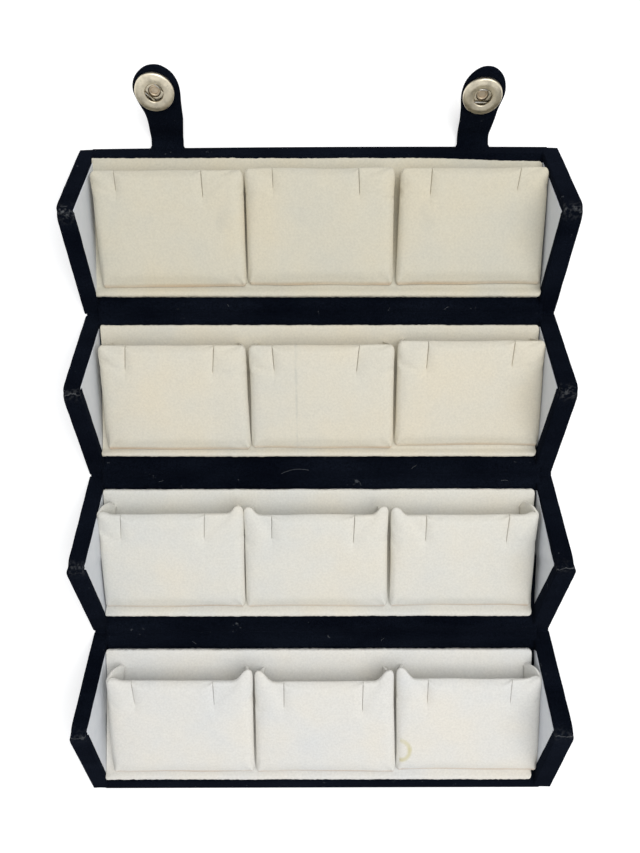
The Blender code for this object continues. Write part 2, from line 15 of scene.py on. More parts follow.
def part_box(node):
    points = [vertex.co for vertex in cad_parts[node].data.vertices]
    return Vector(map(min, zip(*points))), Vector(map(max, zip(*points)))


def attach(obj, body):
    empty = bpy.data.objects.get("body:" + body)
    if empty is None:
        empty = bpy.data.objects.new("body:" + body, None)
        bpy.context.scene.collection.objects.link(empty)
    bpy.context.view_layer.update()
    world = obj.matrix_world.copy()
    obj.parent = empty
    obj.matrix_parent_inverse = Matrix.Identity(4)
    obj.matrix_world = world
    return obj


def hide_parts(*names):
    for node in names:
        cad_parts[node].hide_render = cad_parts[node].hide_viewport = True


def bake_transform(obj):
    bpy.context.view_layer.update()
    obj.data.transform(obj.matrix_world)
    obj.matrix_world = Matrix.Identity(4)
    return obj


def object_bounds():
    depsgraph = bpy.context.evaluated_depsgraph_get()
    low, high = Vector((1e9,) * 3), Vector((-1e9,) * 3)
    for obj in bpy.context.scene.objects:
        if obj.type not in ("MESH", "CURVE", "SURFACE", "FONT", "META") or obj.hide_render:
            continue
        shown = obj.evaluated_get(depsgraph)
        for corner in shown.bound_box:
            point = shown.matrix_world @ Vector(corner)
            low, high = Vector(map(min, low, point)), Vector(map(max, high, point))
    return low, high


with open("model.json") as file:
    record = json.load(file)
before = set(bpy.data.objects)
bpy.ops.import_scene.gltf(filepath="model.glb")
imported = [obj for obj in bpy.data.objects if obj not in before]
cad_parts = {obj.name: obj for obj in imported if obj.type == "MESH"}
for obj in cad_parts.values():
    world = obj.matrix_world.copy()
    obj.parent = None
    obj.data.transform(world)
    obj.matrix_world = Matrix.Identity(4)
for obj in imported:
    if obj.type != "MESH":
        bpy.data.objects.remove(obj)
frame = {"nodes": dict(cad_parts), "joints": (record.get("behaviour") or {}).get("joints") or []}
cad_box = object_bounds()


def in_metres(table):
    """A table in millimetres, turned into metres."""
    if isinstance(table, dict):
        return {key: in_metres(value) for key, value in table.items()}
    if isinstance(table, tuple):
        return tuple(in_metres(value) for value in table)
    return table / 1000


# The box, as the frame gives it
JOINTS = {joint["name"]: joint for joint in frame["joints"]}
TRAY_WIDTH = JOINTS["hinge_1_2"]["pos_m"][1] - JOINTS["hinge_2_3"]["pos_m"][1]
PEAK = TRAY_WIDTH / 2
TRAY_4_TILT = radians(-JOINTS["hinge_3_4"]["range_deg"][0])
BASE_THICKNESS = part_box("tray_2_cover")[1].z
BOX_HALF = cad_box[1].x
TRAYS = (1, 2, 3, 4)
SIDES = {"left": -1, "right": 1}
COLUMNS = ("left", "middle", "right")
HINGE_SETBACK = 0.00308
FOLD_LAP = 0.0068

# The free edges, which close against each other when the box is rolled up
FREE_CORNERS = {1: -0.00030, 4: -0.00085}
FREE_ROUNDING = 0.00012
FREE_BOW = 0.0004
COVER_LAP = 0.0012

# The end walls: their inner faces, and the velvet turned in over them
WALL_THICKNESS = 0.0054
WALL_SETBACK = 0.00008
WALL_APEX_RADIUS = 0.0018
OUTER_SHOULDER = 0.0004
INNER_SHOULDER = 0.0005
APEX_BULGE = 0.00012
APEX_BLUNT = {"left": 0.00055, "right": 0.00048}
INNER_HALF = BOX_HALF - WALL_THICKNESS
INNER_PLANES = {
    "left": {1: 0.0846, 2: 0.0843, 3: 0.0843, 4: 0.0846},
    "right": {1: 0.0837, 2: 0.0836, 3: 0.0836, 4: 0.0836},
}
# How far the ends stand outward of their plane: at the lower foot, below and above the apex, and
# at the upper foot
WALL_SHIFTS = in_metres({
    "left": {
        1: (0.65, 0.50, 0.70, 0.85),
        2: (0.25, 0.00, 0.10, 0.25),
        3: (0.45, 0.80, 0.10, 0.30),
        4: (0.80, 0.70, 0.25, 0.05),
    },
    "right": {
        1: (0.00, 0.35, 0.30, 0.05),
        2: (-0.30, -0.15, -0.10, -0.10),
        3: (-0.30, 0.60, -0.25, -0.25),
        4: (0.50, 0.35, 0.10, 0.00),
    },
})
# How much of each apex is a pale line of backing, and how much is rubbed bare
APEX_LINES = {"left": {1: 0.3, 2: 0.8, 3: 0.1, 4: 0.6}, "right": {1: 0.1, 2: 0.2, 3: 0.8, 4: 0.7}}
APEX_RUBS = {"left": {1: 1.0, 2: 0.3, 3: 0.5, 4: 0.2}, "right": {1: 0.6, 2: 0.7, 3: 0.2, 4: 0.2}}
# How far the velvet is turned in: the lower slope's foot and apex, the upper slope's apex and foot
TURN_INS = in_metres({
    "left": {
        1: (1.6, 1.4, 1.2, 1.3),
        2: (3.7, 3.6, 0.7, 1.6),
        3: (2.4, 2.5, 1.0, 2.1),
        4: (2.4, 3.0, 1.2, 2.4),
    },
    "right": {
        1: (3.3, 2.2, 2.9, 2.1),
        2: (5.0, 3.4, 2.1, 0.8),
        3: (5.8, 3.4, 2.9, 1.0),
        4: (4.4, 2.8, 1.8, 1.0),
    },
})

# The cards on the end walls' inner faces, over the upper turn-in and under the lower one
CARD_FRONT = 0.00035
CARD_BACK = 0.00010
CARD_BOW = 0.00012
CARD_LAP = 0.0008
CARD_END = 0.0009

# The lining, with its ends at the lower and at the upper side
LINING_BOTTOM = 0.0031
LINING_FLOOR = 0.0040
LINING_ENDS = in_metres({
    "left": {1: (84.9, 86.0), 2: (84.0, 83.2), 3: (84.0, 83.7), 4: (84.8, 83.9)},
    "right": {1: (83.2, 83.2), 2: (82.3, 82.9), 3: (81.5, 82.2), 4: (81.8, 81.9)},
})
LINING_CORNERS = {"left": 0.0003, "right": 0.0013}
LOWER_SETBACKS = {1: 0.0058, 2: 0.00735, 3: 0.00705, 4: 0.0044}
UPPER_SETBACKS = {1: 0.0050, 2: 0.0048, 3: 0.0053, 4: 0.0063}
# How far each lining runs out of true at its right end, and tray 1's upper lip dips there
LINING_TURNS = {1: -0.00040, 2: -0.00032, 3: -0.00018, 4: -0.00016}
LIP_DIP = 0.0013
LIP_RADIUS = 0.0009
LIP_HEIGHT = 0.0025
FREE_LIP_HEIGHT = 0.0018

# The pads of each tray from left to right: left and right along the top edge, left and right along
# the foot, and the places of foot and top edge across the tray
PADS = in_metres({
    1: (
        (-83.9, -27.8, -82.2, -27.6, 9.4, 49.7),
        (-27.6, 27.4, -27.1, 27.4, 10.0, 50.3),
        (29.3, 83.4, 28.3, 83.0, 10.0, 50.2),
    ),
    2: (
        (-82.6, -27.6, -81.8, -26.8, 10.1, 48.7),
        (-26.8, 27.5, -26.2, 27.6, 10.2, 48.8),
        (28.4, 83.3, 28.3, 83.1, 11.0, 50.0),
    ),
    3: (
        (-84.5, -28.9, -84.0, -29.6, 10.7, 48.1),
        (-29.2, 25.3, -29.0, 25.5, 10.7, 47.7),
        (26.0, 81.8, 26.4, 81.1, 10.7, 47.5),
    ),
    4: (
        (-82.2, -26.2, -81.5, -26.3, 7.5, 45.7),
        (-25.6, 27.4, -25.8, 28.7, 7.4, 45.2),
        (28.2, 84.0, 29.0, 83.9, 8.0, 46.1),
    ),
})
PAD_BOTTOM = 0.0043
PAD_FOOT_RISE = 0.0016
PAD_TOP_RISE = 0.0101
PAD_THICKNESS = 0.0024
PAD_SHOULDER = 0.0018
PAD_CROWN = 0.0005
FOOT_ROLL = 0.0011
TOP_ROLL = 0.0010
BACK_ROLL = 0.0009
FOOT_CORNER = 0.0012
TOP_CORNERS = {1: 0.0020, 2: 0.0018, 3: 0.0017, 4: 0.0017}
FLANGE_LEAN = 0.28
OUTER_LEAN = 0.50
# Ears at the top edge: height, flat top and width where pads meet, height and tail at the ends
EARS = in_metres({
    1: (0.0, 0.0, 5.0, 0.0, 0.0),
    2: (0.0, 0.0, 5.0, 0.0, 0.0),
    3: (3.4, 3.2, 5.3, 0.6, 2.2),
    4: (5.0, 2.6, 6.6, 0.8, 2.4),
})
EAR_FALL = 0.55

# The slits of each tray, two to a pad: place at the top edge and at the slit's end, and length, all
# in millimetres, and how open it is
SLIT_LIP = 0.00034
SLIT_HALF = 0.000014
SLITS = {
    1: (
        (-74.8, -74.4, 6.3, 0.8), (-43.1, -42.6, 8.5, 1.0),
        (-17.3, -17.1, 6.6, 0.5), (14.1, 14.6, 8.5, 1.0),
        (40.7, 40.1, 8.8, 1.0), (73.0, 71.9, 7.5, 0.8),
    ),
    2: (
        (-71.9, -72.5, 8.0, 1.0), (-39.2, -39.9, 9.2, 1.0),
        (-17.9, -17.3, 8.4, 1.0), (14.4, 13.4, 9.2, 1.0),
        (39.8, 39.2, 9.2, 1.0), (71.6, 70.9, 8.7, 1.0),
    ),
    3: (
        (-75.1, -75.5, 8.5, 0.4), (-43.6, -44.0, 8.7, 1.0),
        (-18.5, -18.7, 8.4, 1.0), (12.6, 12.2, 9.9, 1.0),
        (39.4, 39.2, 9.6, 1.0), (70.5, 69.8, 10.2, 1.0),
    ),
    4: (
        (-72.3, -71.3, 9.0, 0.9), (-41.3, -40.9, 8.9, 0.9),
        (-14.4, -14.5, 9.8, 0.9), (15.7, 15.5, 10.7, 0.9),
        (40.3, 40.0, 8.6, 0.9), (72.1, 71.7, 8.6, 0.9),
    ),
}

# Marks on the velvet: handled patches as strength, place, width and height on a (tray, column), a
# rubbed line and a ring of glue
PATCHES = {(1, 0): (0.38, 0.0195, 0.0240, 0.0055, 0.0065), (1, 2): (0.36, -0.0165, 0.0240, 0.005, 0.007)}
RUBBED_LINE = -0.0095
GLUE_X, GLUE_Y, GLUE_RADIUS = -0.0262, 0.0098, 0.0037

# How the padding presses the cloth out from its backing, worked out at a larger scale
CLOTH_SCALE = 20.0
CLOTH_CAP = 0.0008
CLOTH_FRAMES = 20
CLOTH = {
    "quality": 4,
    "mass": 0.05,
    "tension_stiffness": 20,
    "compression_stiffness": 20,
    "shear_stiffness": 8,
    "bending_stiffness": 2,
    "use_pressure": True,
    "uniform_pressure_force": 4.0,
    "vertex_group_mass": "backing",
}

# The straps and snaps
STRAP_PLACE, STRAP_AXIS_Y, STRAP_AXIS_Z = JOINTS["strap_right_hinge"]["pos_m"]
STRAP_ANGLE = radians(-JOINTS["strap_right_hinge"]["range_deg"][0])
STRAP_THICKNESS = 0.0016
STRAP_START = 0.0062
STRAP_BEND = 0.0022
ROOT_FILLET = 0.0005
STRAP_NECKS = {"left": 0.00605, "right": 0.00583}
# Where each head begins to widen and half the width there; half the head's width and its length
STRAP_WAISTS = {"left": (0.0089, 0.0066), "right": (0.0100, 0.0066)}
STRAP_HEADS = {"left": (0.0083, 0.0090), "right": (0.0077, 0.0098)}
HEAD_ENDS = {"left": 0.0279, "right": 0.0277}
# How far out of true each strap's middle runs outward, from its hinge line to its head
STRAP_DRIFTS = {
    "left": ((0.0, 0.00015), (0.009, -0.00042), (0.0195, 0.00075), (0.028, 0.00050)),
    "right": ((0.0, 0.00040), (0.008, 0.00080), (0.020, 0.00115), (0.028, 0.00130)),
}
HEAD_ROLLS = {"left": radians(-3), "right": radians(-2)}
LEAN_STARTS, LEAN_LENGTH = 0.0040, 0.0120
LEANS = {"left": radians(8), "right": radians(3)}
SNAP_REACH = 0.0200
RING_SHIFTS = {"left": 0.00125, "right": 0.0007}
RING_SLIDES = {"left": -0.0006, "right": -0.0020}
SOCKET_RADIUS = 0.0069
SOCKET_HOLE = 0.0033
POST_RADIUS = 0.0021
SOCKET_HEIGHT = 0.0018
SOCKET_BOTTOM = 0.0011
SPRING_TURNS = {"left": radians(45), "right": radians(90)}

# Lint: the tray, the middle of each hair along X and across the tray, its length and its angle
LINT = (
    (2, -0.0100, 0.0012, 0.0110, 12),
    (2, 0.0360, 0.0030, 0.0035, 70),
    (3, 0.0150, 0.0588, 0.0030, 120),
    (3, -0.0620, 0.0600, 0.0022, 40),
    (3, 0.0710, 0.0596, 0.0026, 160),
    (1, 0.0480, 0.0016, 0.0024, 30),
    (1, -0.0350, 0.0030, 0.0018, 100),
    (4, 0.0240, 0.0590, 0.0028, 75),
    (4, -0.0500, 0.0580, 0.0020, 150),
)

# The stage, light and camera
FLOOR_HALF = 3.0
LAMP_PLACE = (0.36, 0.00, 1.05)
LAMP_SIZE = 1.2
LAMP_POWER = 7.3
IMAGE_HEIGHT = 853
FOCAL_PIXELS = 752.0
AXIS_PIXELS_BELOW_MIDDLE = 44.85
CAMERA_PLACE = (0.00033, -0.00874, 0.29303)
CAMERA_TURNS = {"Z": 0.223, "Y": -0.136, "X": 4.099}


# Frames

def at(x, y, z):
    return Matrix.Translation((x, y, z))


def spin(angle, axis="X"):
    return Matrix.Rotation(angle, 4, axis)


def lower_line(tray):
    return (1.5 - tray) * TRAY_WIDTH


def tray_frame(tray):
    """Takes a tray's own (x, u, v) to the row frame; tray 4 leans on its studs."""
    if tray < 4:
        return at(0, lower_line(tray), 0)
    return at(0, lower_line(3), 0) @ spin(-TRAY_4_TILT) @ at(0, -TRAY_WIDTH, 0)


def snap_frame(side, height=0):
    """At this height over the strap's middle, rolled outward as the strap twists."""
    middle, angle = strap_line(side, SNAP_REACH + RING_SLIDES[side])
    place = at(SIDES[side] * (STRAP_PLACE + RING_SHIFTS[side]), middle.x, middle.y)
    return place @ spin(angle) @ spin(SIDES[side] * HEAD_ROLLS[side], "Y") @ at(0, 0, height)


# Shapes

def wobble(x, y, z, size, seed=0):
    """A smooth value between about -1 and 1, with bumps of about this size."""
    return noise.noise(Vector((x / size + seed, y / size - seed, z / size + 0.37)))


def mix(a, b, share):
    return a + (b - a) * share


def clamp(share):
    return max(0.0, min(1.0, share))


def ease(share):
    share = clamp(share)
    return share * share * (3 - 2 * share)


def bell(distance, width):
    """1 in the middle, falling softly to nothing past this width."""
    return exp(-((distance / width) ** 2))


def rolled(distance, radius):
    """How far a rounded edge has dropped at this distance from where it ends."""
    return radius - sqrt(max(0.0, radius**2 - max(0.0, radius - distance) ** 2))


def evenly(low, high, count):
    """Evenly spaced values from low to high, in this many steps."""
    return [mix(low, high, step / count) for step in range(count + 1)]


def spread(low, high, spacing):
    """Evenly spaced values after low, up to and with high."""
    return evenly(low, high, max(1, round((high - low) / spacing)))[1:]


def new_object(name, data):
    obj = bpy.data.objects.new(name, data)
    bpy.context.scene.collection.objects.link(obj)
    return obj


def set_mark(mesh, mark, levels):
    mesh.attributes.new(mark, "FLOAT", "POINT").data.foreach_set("value", levels)


def piece(name, form, finish, body=None, place=None, nodes=(), is_turned=False, **marks):
    """A smooth piece with a finish, placed by a frame, on a body, in the place of some nodes."""
    points, faces = form
    material, slot = finish
    mesh = bpy.data.meshes.new(name)
    mesh.from_pydata([tuple(p) for p in points], [], faces)
    if place is not None:
        mesh.transform(place)
    shape = bmesh.new()
    shape.from_mesh(mesh)
    if is_turned:
        bmesh.ops.remove_doubles(shape, verts=shape.verts, dist=1e-7)
        bmesh.ops.dissolve_degenerate(shape, edges=shape.edges, dist=1e-8)
    bmesh.ops.recalc_face_normals(shape, faces=shape.faces)
    shape.to_mesh(mesh)
    shape.free()
    mesh.shade_smooth()
    if is_turned:
        mesh.set_sharp_from_angle(angle=radians(40))
    mesh.materials.append(material)
    for mark, levels in marks.items():
        set_mark(mesh, mark, levels)
    obj = new_object(name, mesh)
    if body is not None:
        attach(obj, body)
    if nodes:
        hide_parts(*nodes)
    return obj


def tray_piece(tray, name, rings, finish, node, **marks):
    """A lofted piece in a tray's own frame, in the place of one of its nodes."""
    body = f"tray_{tray}"
    nodes = [f"{body}_{node}"]
    piece(f"{body}_{name}", loft(rings), finish, body, tray_frame(tray), nodes, **marks)


def loft(rings, wrap=False):
    """Faces between equal closed rings of points, wrapped round or with both ends filled."""
    count = len(rings[0])
    points = [p for ring in rings for p in ring]
    faces = []
    for row in range(len(rings) if wrap else len(rings) - 1):
        low, high = row * count, (row + 1) % len(rings) * count
        for column in range(count):
            after = (column + 1) % count
            faces.append((low + column, low + after, high + after, high + column))
    if not wrap:
        faces += [tuple(range(count)), tuple(range(len(points) - count, len(points)))]
    return points, faces


def arc(centre, radius, start, end, steps):
    angles = [radians(angle) for angle in evenly(start, end, steps)]
    return [(centre[0] + radius * cos(angle), centre[1] + radius * sin(angle)) for angle in angles]


def rounded(corners, steps=6):
    """The outline through corners given as ((x, y), radius)."""
    points = []
    for index, (corner, radius) in enumerate(corners):
        here = Vector(corner)
        if radius == 0:
            points.append(tuple(here))
            continue
        back = (Vector(corners[index - 1][0]) - here).normalized()
        ahead = (Vector(corners[(index + 1) % len(corners)][0]) - here).normalized()
        half = acos(max(-1.0, min(1.0, back.dot(ahead)))) / 2
        reach = radius / tan(half)
        centre = here + (back + ahead).normalized() * radius / sin(half)
        first, last = (here + way * reach - centre for way in (back, ahead))
        start = degrees(atan2(first.y, first.x))
        sweep = (degrees(atan2(last.y, last.x)) - start + 180) % 360 - 180
        points += arc(centre, radius, start, start + sweep, steps)
    return points


def spaced(outline, spacing):
    """The same outline with points added so that none lie further apart than the spacing."""
    points = []
    for index, here in enumerate(outline):
        a, b = Vector(here), Vector(outline[(index + 1) % len(outline)])
        parts = max(1, ceil((b - a).length / spacing))
        points += [tuple(a.lerp(b, part / parts)) for part in range(parts)]
    return points


def turned(name, profile, steps, finish, body, place, node):
    """A profile of (radius, height) points turned round Z, closed on itself or on the axis."""
    angles = evenly(0, 2 * pi, steps)[:-1]
    rings = [[(r * cos(angle), r * sin(angle), z) for r, z in profile] for angle in angles]
    piece(name, loft(rings, wrap=True), finish, body, place, [node], is_turned=True)


def tube(points, radius, sides):
    """A round wire or hair along these points."""
    rings = []
    for index, point in enumerate(points):
        before, after = points[max(0, index - 1)], points[min(len(points) - 1, index + 1)]
        along = (after - before).normalized()
        side = along.cross(Vector((0, 0, 1))).normalized()
        up = side.cross(along)
        angles = evenly(0, 2 * pi, sides)[:-1]
        rings.append([point + (side * cos(angle) + up * sin(angle)) * radius for angle in angles])
    return loft(rings)


# Materials

class Nodes:
    """The shader nodes of a material or a world. Each call adds nodes and gives their output."""

    def __init__(self, owner):
        owner.use_nodes = True
        self.tree = owner.node_tree

    def fill(self, node, inputs):
        """Sets or links a node's inputs, given by their names or numbers."""
        for name, value in inputs.items():
            socket = node.inputs[name]
            if isinstance(value, bpy.types.NodeSocket):
                self.tree.links.new(value, socket)
            else:
                socket.default_value = (*value, 1.0) if socket.type == "RGBA" else value

    def add(self, kind, inputs=None, output=0, **settings):
        node = self.tree.nodes.new("ShaderNode" + kind)
        for name, value in settings.items():
            setattr(node, name, value)
        self.fill(node, inputs or {})
        return node.outputs[output] if node.outputs else None

    def noise(self, scale, detail, stretch=(1.0, 1.0, 1.0)):
        """A noise in the object's own metres: scale 1000 has features of about a millimetre."""
        place = self.add("TexCoord", output="Object")
        place = self.add("Mapping", {"Vector": place, "Scale": stretch})
        return self.add("TexNoise", {"Vector": place, "Scale": scale, "Detail": detail})

    def ramp(self, value, *stops):
        """A colour ramp with (position, colour or level) stops."""
        node = self.tree.nodes.new("ShaderNodeValToRGB")
        elements = node.color_ramp.elements
        while len(elements) < len(stops):
            elements.new(0.5)
        for element, (position, colour) in zip(elements, stops):
            element.position = position
            element.color = (*(colour if isinstance(colour, tuple) else (colour,) * 3), 1.0)
        self.fill(node, {"Fac": value})
        return node.outputs["Color"]

    def math(self, operation, a, b=0.0):
        return self.add("Math", {0: a, 1: b}, operation=operation)

    def times(self, a, b):
        return self.math("MULTIPLY", a, b)

    def mix(self, share, a, b, blend_type="MIX"):
        inputs = {0: share, 6: a, 7: b}
        return self.add("Mix", inputs, 2, data_type="RGBA", blend_type=blend_type)

    def mark(self, name):
        return self.add("Attribute", output="Fac", attribute_name=name)

    def bump(self, height, strength, distance):
        return self.add("Bump", {"Height": height, "Strength": strength, "Distance": distance})

    def ray(self, kind):
        return self.add("LightPath", output=f"Is {kind} Ray")


def apex_wear(nodes):
    """A ragged pale line where the cloth's raw edge crosses an end wall's apex, and a rubbed patch."""
    away = nodes.math("ADD", nodes.mark("apex"), nodes.times(nodes.noise(420.0, 3.0), 3.2))
    away = nodes.math("ABSOLUTE", nodes.math("SUBTRACT", away, 1.25))
    line = nodes.times(nodes.ramp(away, (0.05, 0.85), (0.24, 0.0)), nodes.mark("wear"))
    spots = nodes.ramp(nodes.noise(750.0, 5.0), (0.48, 0.0), (0.68, 0.9))
    return nodes.math("MAXIMUM", line, nodes.times(spots, nodes.mark("rub")))


def cloth_looks(base, normal, roughness, specular, sheen=0.0, sheen_roughness=0.5):
    """The shader's inputs for cloth or, without sheen, for paper."""
    return {
        "Base Color": base,
        "Normal": normal,
        "Roughness": roughness,
        "Specular IOR Level": specular,
        "Sheen Weight": sheen,
        "Sheen Roughness": sheen_roughness,
    }


def black_velvet(nodes):
    """Near-black navy pile with blotches where it lies differently, lint and worn grey spots."""
    blotch = nodes.noise(70.0, 4.0, (0.4, 1.0, 1.0))
    pile = nodes.noise(2600.0, 3.0)
    base = nodes.ramp(blotch, (0.35, (0.0024, 0.0034, 0.0066)), (0.70, (0.0052, 0.0072, 0.0125)))
    base = nodes.mix(1.0, base, nodes.ramp(pile, (0.35, 0.55), (0.70, 1.60)), "MULTIPLY")
    specks = nodes.times(nodes.noise(900.0, 1.0), nodes.noise(160.0, 1.0))
    specks = nodes.ramp(specks, (0.47, 0.0), (0.54, 1.0))
    base = nodes.mix(specks, base, (0.050, 0.055, 0.062))
    base = nodes.mix(apex_wear(nodes), base, (0.115, 0.120, 0.125))
    looks = cloth_looks(base, nodes.bump(pile, 0.6, 0.0002), 1.0, 0.0, 0.02, 0.5)
    return {**looks, "Sheen Tint": (0.6, 0.7, 1.0)}


def pale_velvet(nodes, colour, shade):
    """Cream pile: short, with faint warm and cool clouds, smudges and a fine grain."""
    cool = tuple(c * t for c, t in zip(colour, (0.955, 0.975, 1.01)))
    warm = tuple(c * t for c, t in zip(colour, (1.03, 1.005, 0.965)))
    base = nodes.ramp(nodes.noise(42.0, 4.0), (0.32, cool), (0.50, colour), (0.70, warm))
    pile = nodes.noise(1300.0, 4.0)
    base = nodes.mix(1.0, base, nodes.ramp(pile, (0.30, 0.945), (0.70, 1.045)), "MULTIPLY")
    # Painted shadow: a pinkish-brown line along each pad's foot, where it meets the lining's lip
    base = nodes.mix(nodes.mark("foot"), base, (0.86, 0.72, 0.62), "MULTIPLY")
    marked = nodes.times(nodes.mark("wear"), nodes.noise(210.0, 3.0))
    base = nodes.mix(nodes.ramp(marked, (0.10, 0.0), (0.60, 1.0)), base, shade)
    return cloth_looks(base, nodes.bump(pile, 0.35, 0.00018), 0.95, 0.1, 0.12, 0.45)


def paper(nodes, dark, pale, scale, detail, roughness, specular, roughened):
    """Card or board: fibres or pulp between two colours."""
    fibres = nodes.noise(scale, detail)
    base = nodes.ramp(fibres, (0.3, dark), (0.7, pale))
    return cloth_looks(base, nodes.bump(fibres, roughened, 0.0001), roughness, specular)


def nickel(nodes, colour, roughness):
    """Worn plating: fine scratches and cloudy handling marks; the rings' lower halves darkened as
    painted reflection.
    """
    scratches = nodes.noise(1500.0, 2.0, (0.12, 1.6, 1.0))
    dull = tuple(c * 0.72 for c in colour)
    base = nodes.ramp(nodes.noise(420.0, 5.0), (0.34, dull), (0.56, colour))
    # Painted reflection: darker towards lower Y, where the rings would mirror the dark strap and tray
    place = nodes.add("TexCoord", output="Object")
    up = nodes.add("SeparateXYZ", {"Vector": place}, "Y")
    up = nodes.times(nodes.math("SUBTRACT", up, 0.1020), 100.0)
    return {
        "Base Color": nodes.mix(1.0, base, nodes.ramp(up, (0.10, 0.66), (0.70, 1.0)), "MULTIPLY"),
        "Roughness": nodes.math("ADD", nodes.times(scratches, 0.30), roughness - 0.12),
        "Metallic": 1.0,
        "Normal": nodes.bump(scratches, 0.12, 0.00006),
    }


def make_finish(name, slot, recipe, *values):
    """A material made by a recipe, and the slot of the record that it stands for."""
    material = bpy.data.materials.new(name)
    nodes = Nodes(material)
    nodes.fill(nodes.tree.nodes["Principled BSDF"], recipe(nodes, *values))
    return material, slot


def make_pale(name, slot, colour, shade):
    return make_finish(name, slot, pale_velvet, colour, shade)


WHITES = (0.67, 0.70, 0.74), (0.71, 0.73, 0.77)
GREYS = (0.26, 0.25, 0.23), (0.40, 0.39, 0.36)
BLACK = make_finish("black_velvet_pile", "black_velvet", black_velvet)
# Painted light: within each slot the trays' colours step lighter from tray 1 to tray 4, over the cream
# and pale cloths' own tones
CREAMS = {
    1: make_pale("cream_velvet_tray_1", "cream_velvet", (0.665, 0.625, 0.505), (0.42, 0.41, 0.36)),
    2: make_pale("cream_velvet_tray_2", "cream_velvet", (0.715, 0.675, 0.565), (0.50, 0.50, 0.44)),
    3: make_pale("pale_velvet_tray_3", "pale_velvet", (0.750, 0.730, 0.658), (0.52, 0.52, 0.48)),
    4: make_pale("pale_velvet_tray_4", "pale_velvet", (0.778, 0.762, 0.712), (0.66, 0.61, 0.38)),
}
CARD = make_finish("smooth_white_card", "white_card", paper, *WHITES, 300.0, 3.0, 0.42, 0.3, 0.1)
BOARD = make_finish("grey_board_pulp", None, paper, *GREYS, 900.0, 4.0, 0.95, 0.1, 0.4)
NICKEL = make_finish("worn_nickel", "nickel", nickel, (0.92, 0.83, 0.64), 0.30)
BORE_NICKEL = make_finish("dull_nickel", "nickel", nickel, (0.72, 0.60, 0.44), 0.40)
SPRING = make_finish("spring_wire", "spring_steel", nickel, (0.96, 0.93, 0.86), 0.25)
LINT_GREY = make_pale("lint_grey", "black_velvet", (0.17, 0.18, 0.19), (0.12, 0.12, 0.12))


# The velvet bases and end walls

def free_edges(tray):
    """Whether the tray's lower edge is free, and whether its upper one is."""
    return tray == 4, tray == 1


def cover_outline(tray):
    """The base's section, drawn out to a sharp edge where the tray is free."""
    corners = []
    for free, upper in zip(free_edges(tray), (False, True)):
        foot = ((HINGE_SETBACK, 0.0), 0.0007)
        if free:
            foot = ((FREE_CORNERS[tray], 0.0), FREE_ROUNDING)
        side = [foot, ((HINGE_SETBACK, BASE_THICKNESS), 0.0009)]
        if upper:
            side = [((TRAY_WIDTH - u, v), radius) for (u, v), radius in side]
        corners += side if upper else side[::-1]
    return spaced(rounded(corners), 0.0016)


def add_cover(tray):
    """The base's skin, a little uneven over the board inside."""
    outline = cover_outline(tray)
    half = INNER_HALF + COVER_LAP
    rings = []
    for x in evenly(-half, half, 100):
        ring = []
        for u, v in outline:
            lift = 0.00010 * wobble(x, u, v, 0.012, tray) + 0.00005 * wobble(x, u, v, 0.003, tray)
            inside = min(1.0, (half - abs(x)) / 0.003) if v > BASE_THICKNESS / 2 else 0.0
            bow = 0.0
            if tray == 1:
                bow = FREE_BOW * (1 - (x / INNER_HALF) ** 2) * ease((u - TRAY_WIDTH) / 0.003 + 1)
            ring.append((x, u + bow, v + lift * inside))
        rings.append(ring)
    tray_piece(tray, "base_velvet", rings, BLACK, "cover")


def wall_outline(tray):
    """The end's triangle; at a free edge its foot reaches as far out as the base."""
    low, high = (FREE_CORNERS[tray] + 0.00015 if free else WALL_SETBACK for free in free_edges(tray))
    corners = [
        ((low, 0.0), 0.0002),
        ((TRAY_WIDTH - high, 0.0), 0.0002),
        ((PEAK, PEAK - WALL_SETBACK), WALL_APEX_RADIUS),
    ]
    return spaced(rounded(corners, 10), 0.0007)


def crossing(a, b, c, d):
    """Where the line through a and b meets the one through c and d."""
    along, across = b - a, d - c
    return a + along * ((c - a).cross(across) / along.cross(across))


def inner_triangle(insets, bottom):
    """Feet and apex of the triangle inside the end, from the insets at both slopes' ends."""
    low_foot, low_apex, high_apex, high_foot = (inset / sqrt(2) for inset in insets)
    lower = Vector((low_foot, -low_foot)), Vector((PEAK + low_apex, PEAK - low_apex))
    upper = Vector((TRAY_WIDTH - high_foot, -high_foot)), Vector((PEAK - high_apex, PEAK - high_apex))
    ground = Vector((0.0, bottom)), Vector((1.0, bottom))
    return crossing(*lower, *ground), crossing(*upper, *ground), crossing(*lower, *upper)


def moved_in(point, triangle):
    """A point of the end's outline, carried over to the inner triangle."""
    low, high, apex = triangle
    to_apex = point[1] / PEAK
    to_high = (point[0] - to_apex * PEAK) / TRAY_WIDTH
    return apex * to_apex + high * to_high + low * (1 - to_apex - to_high)


def wall_shift(tray, side, u):
    """How far the end stands outward of its plane here."""
    foot, below, above, far_foot = WALL_SHIFTS[side][tray]
    lower = mix(foot, below, u / PEAK)
    upper = mix(above, far_foot, (u - PEAK) / PEAK)
    return mix(lower, upper, ease((u - PEAK) / 0.003 + 0.5))


def inner_plane(tray, side, u):
    """Where an end wall's inner face stands; the wrapped board isn't quite flat."""
    return INNER_PLANES[side][tray] + 0.7 * wall_shift(tray, side, u)


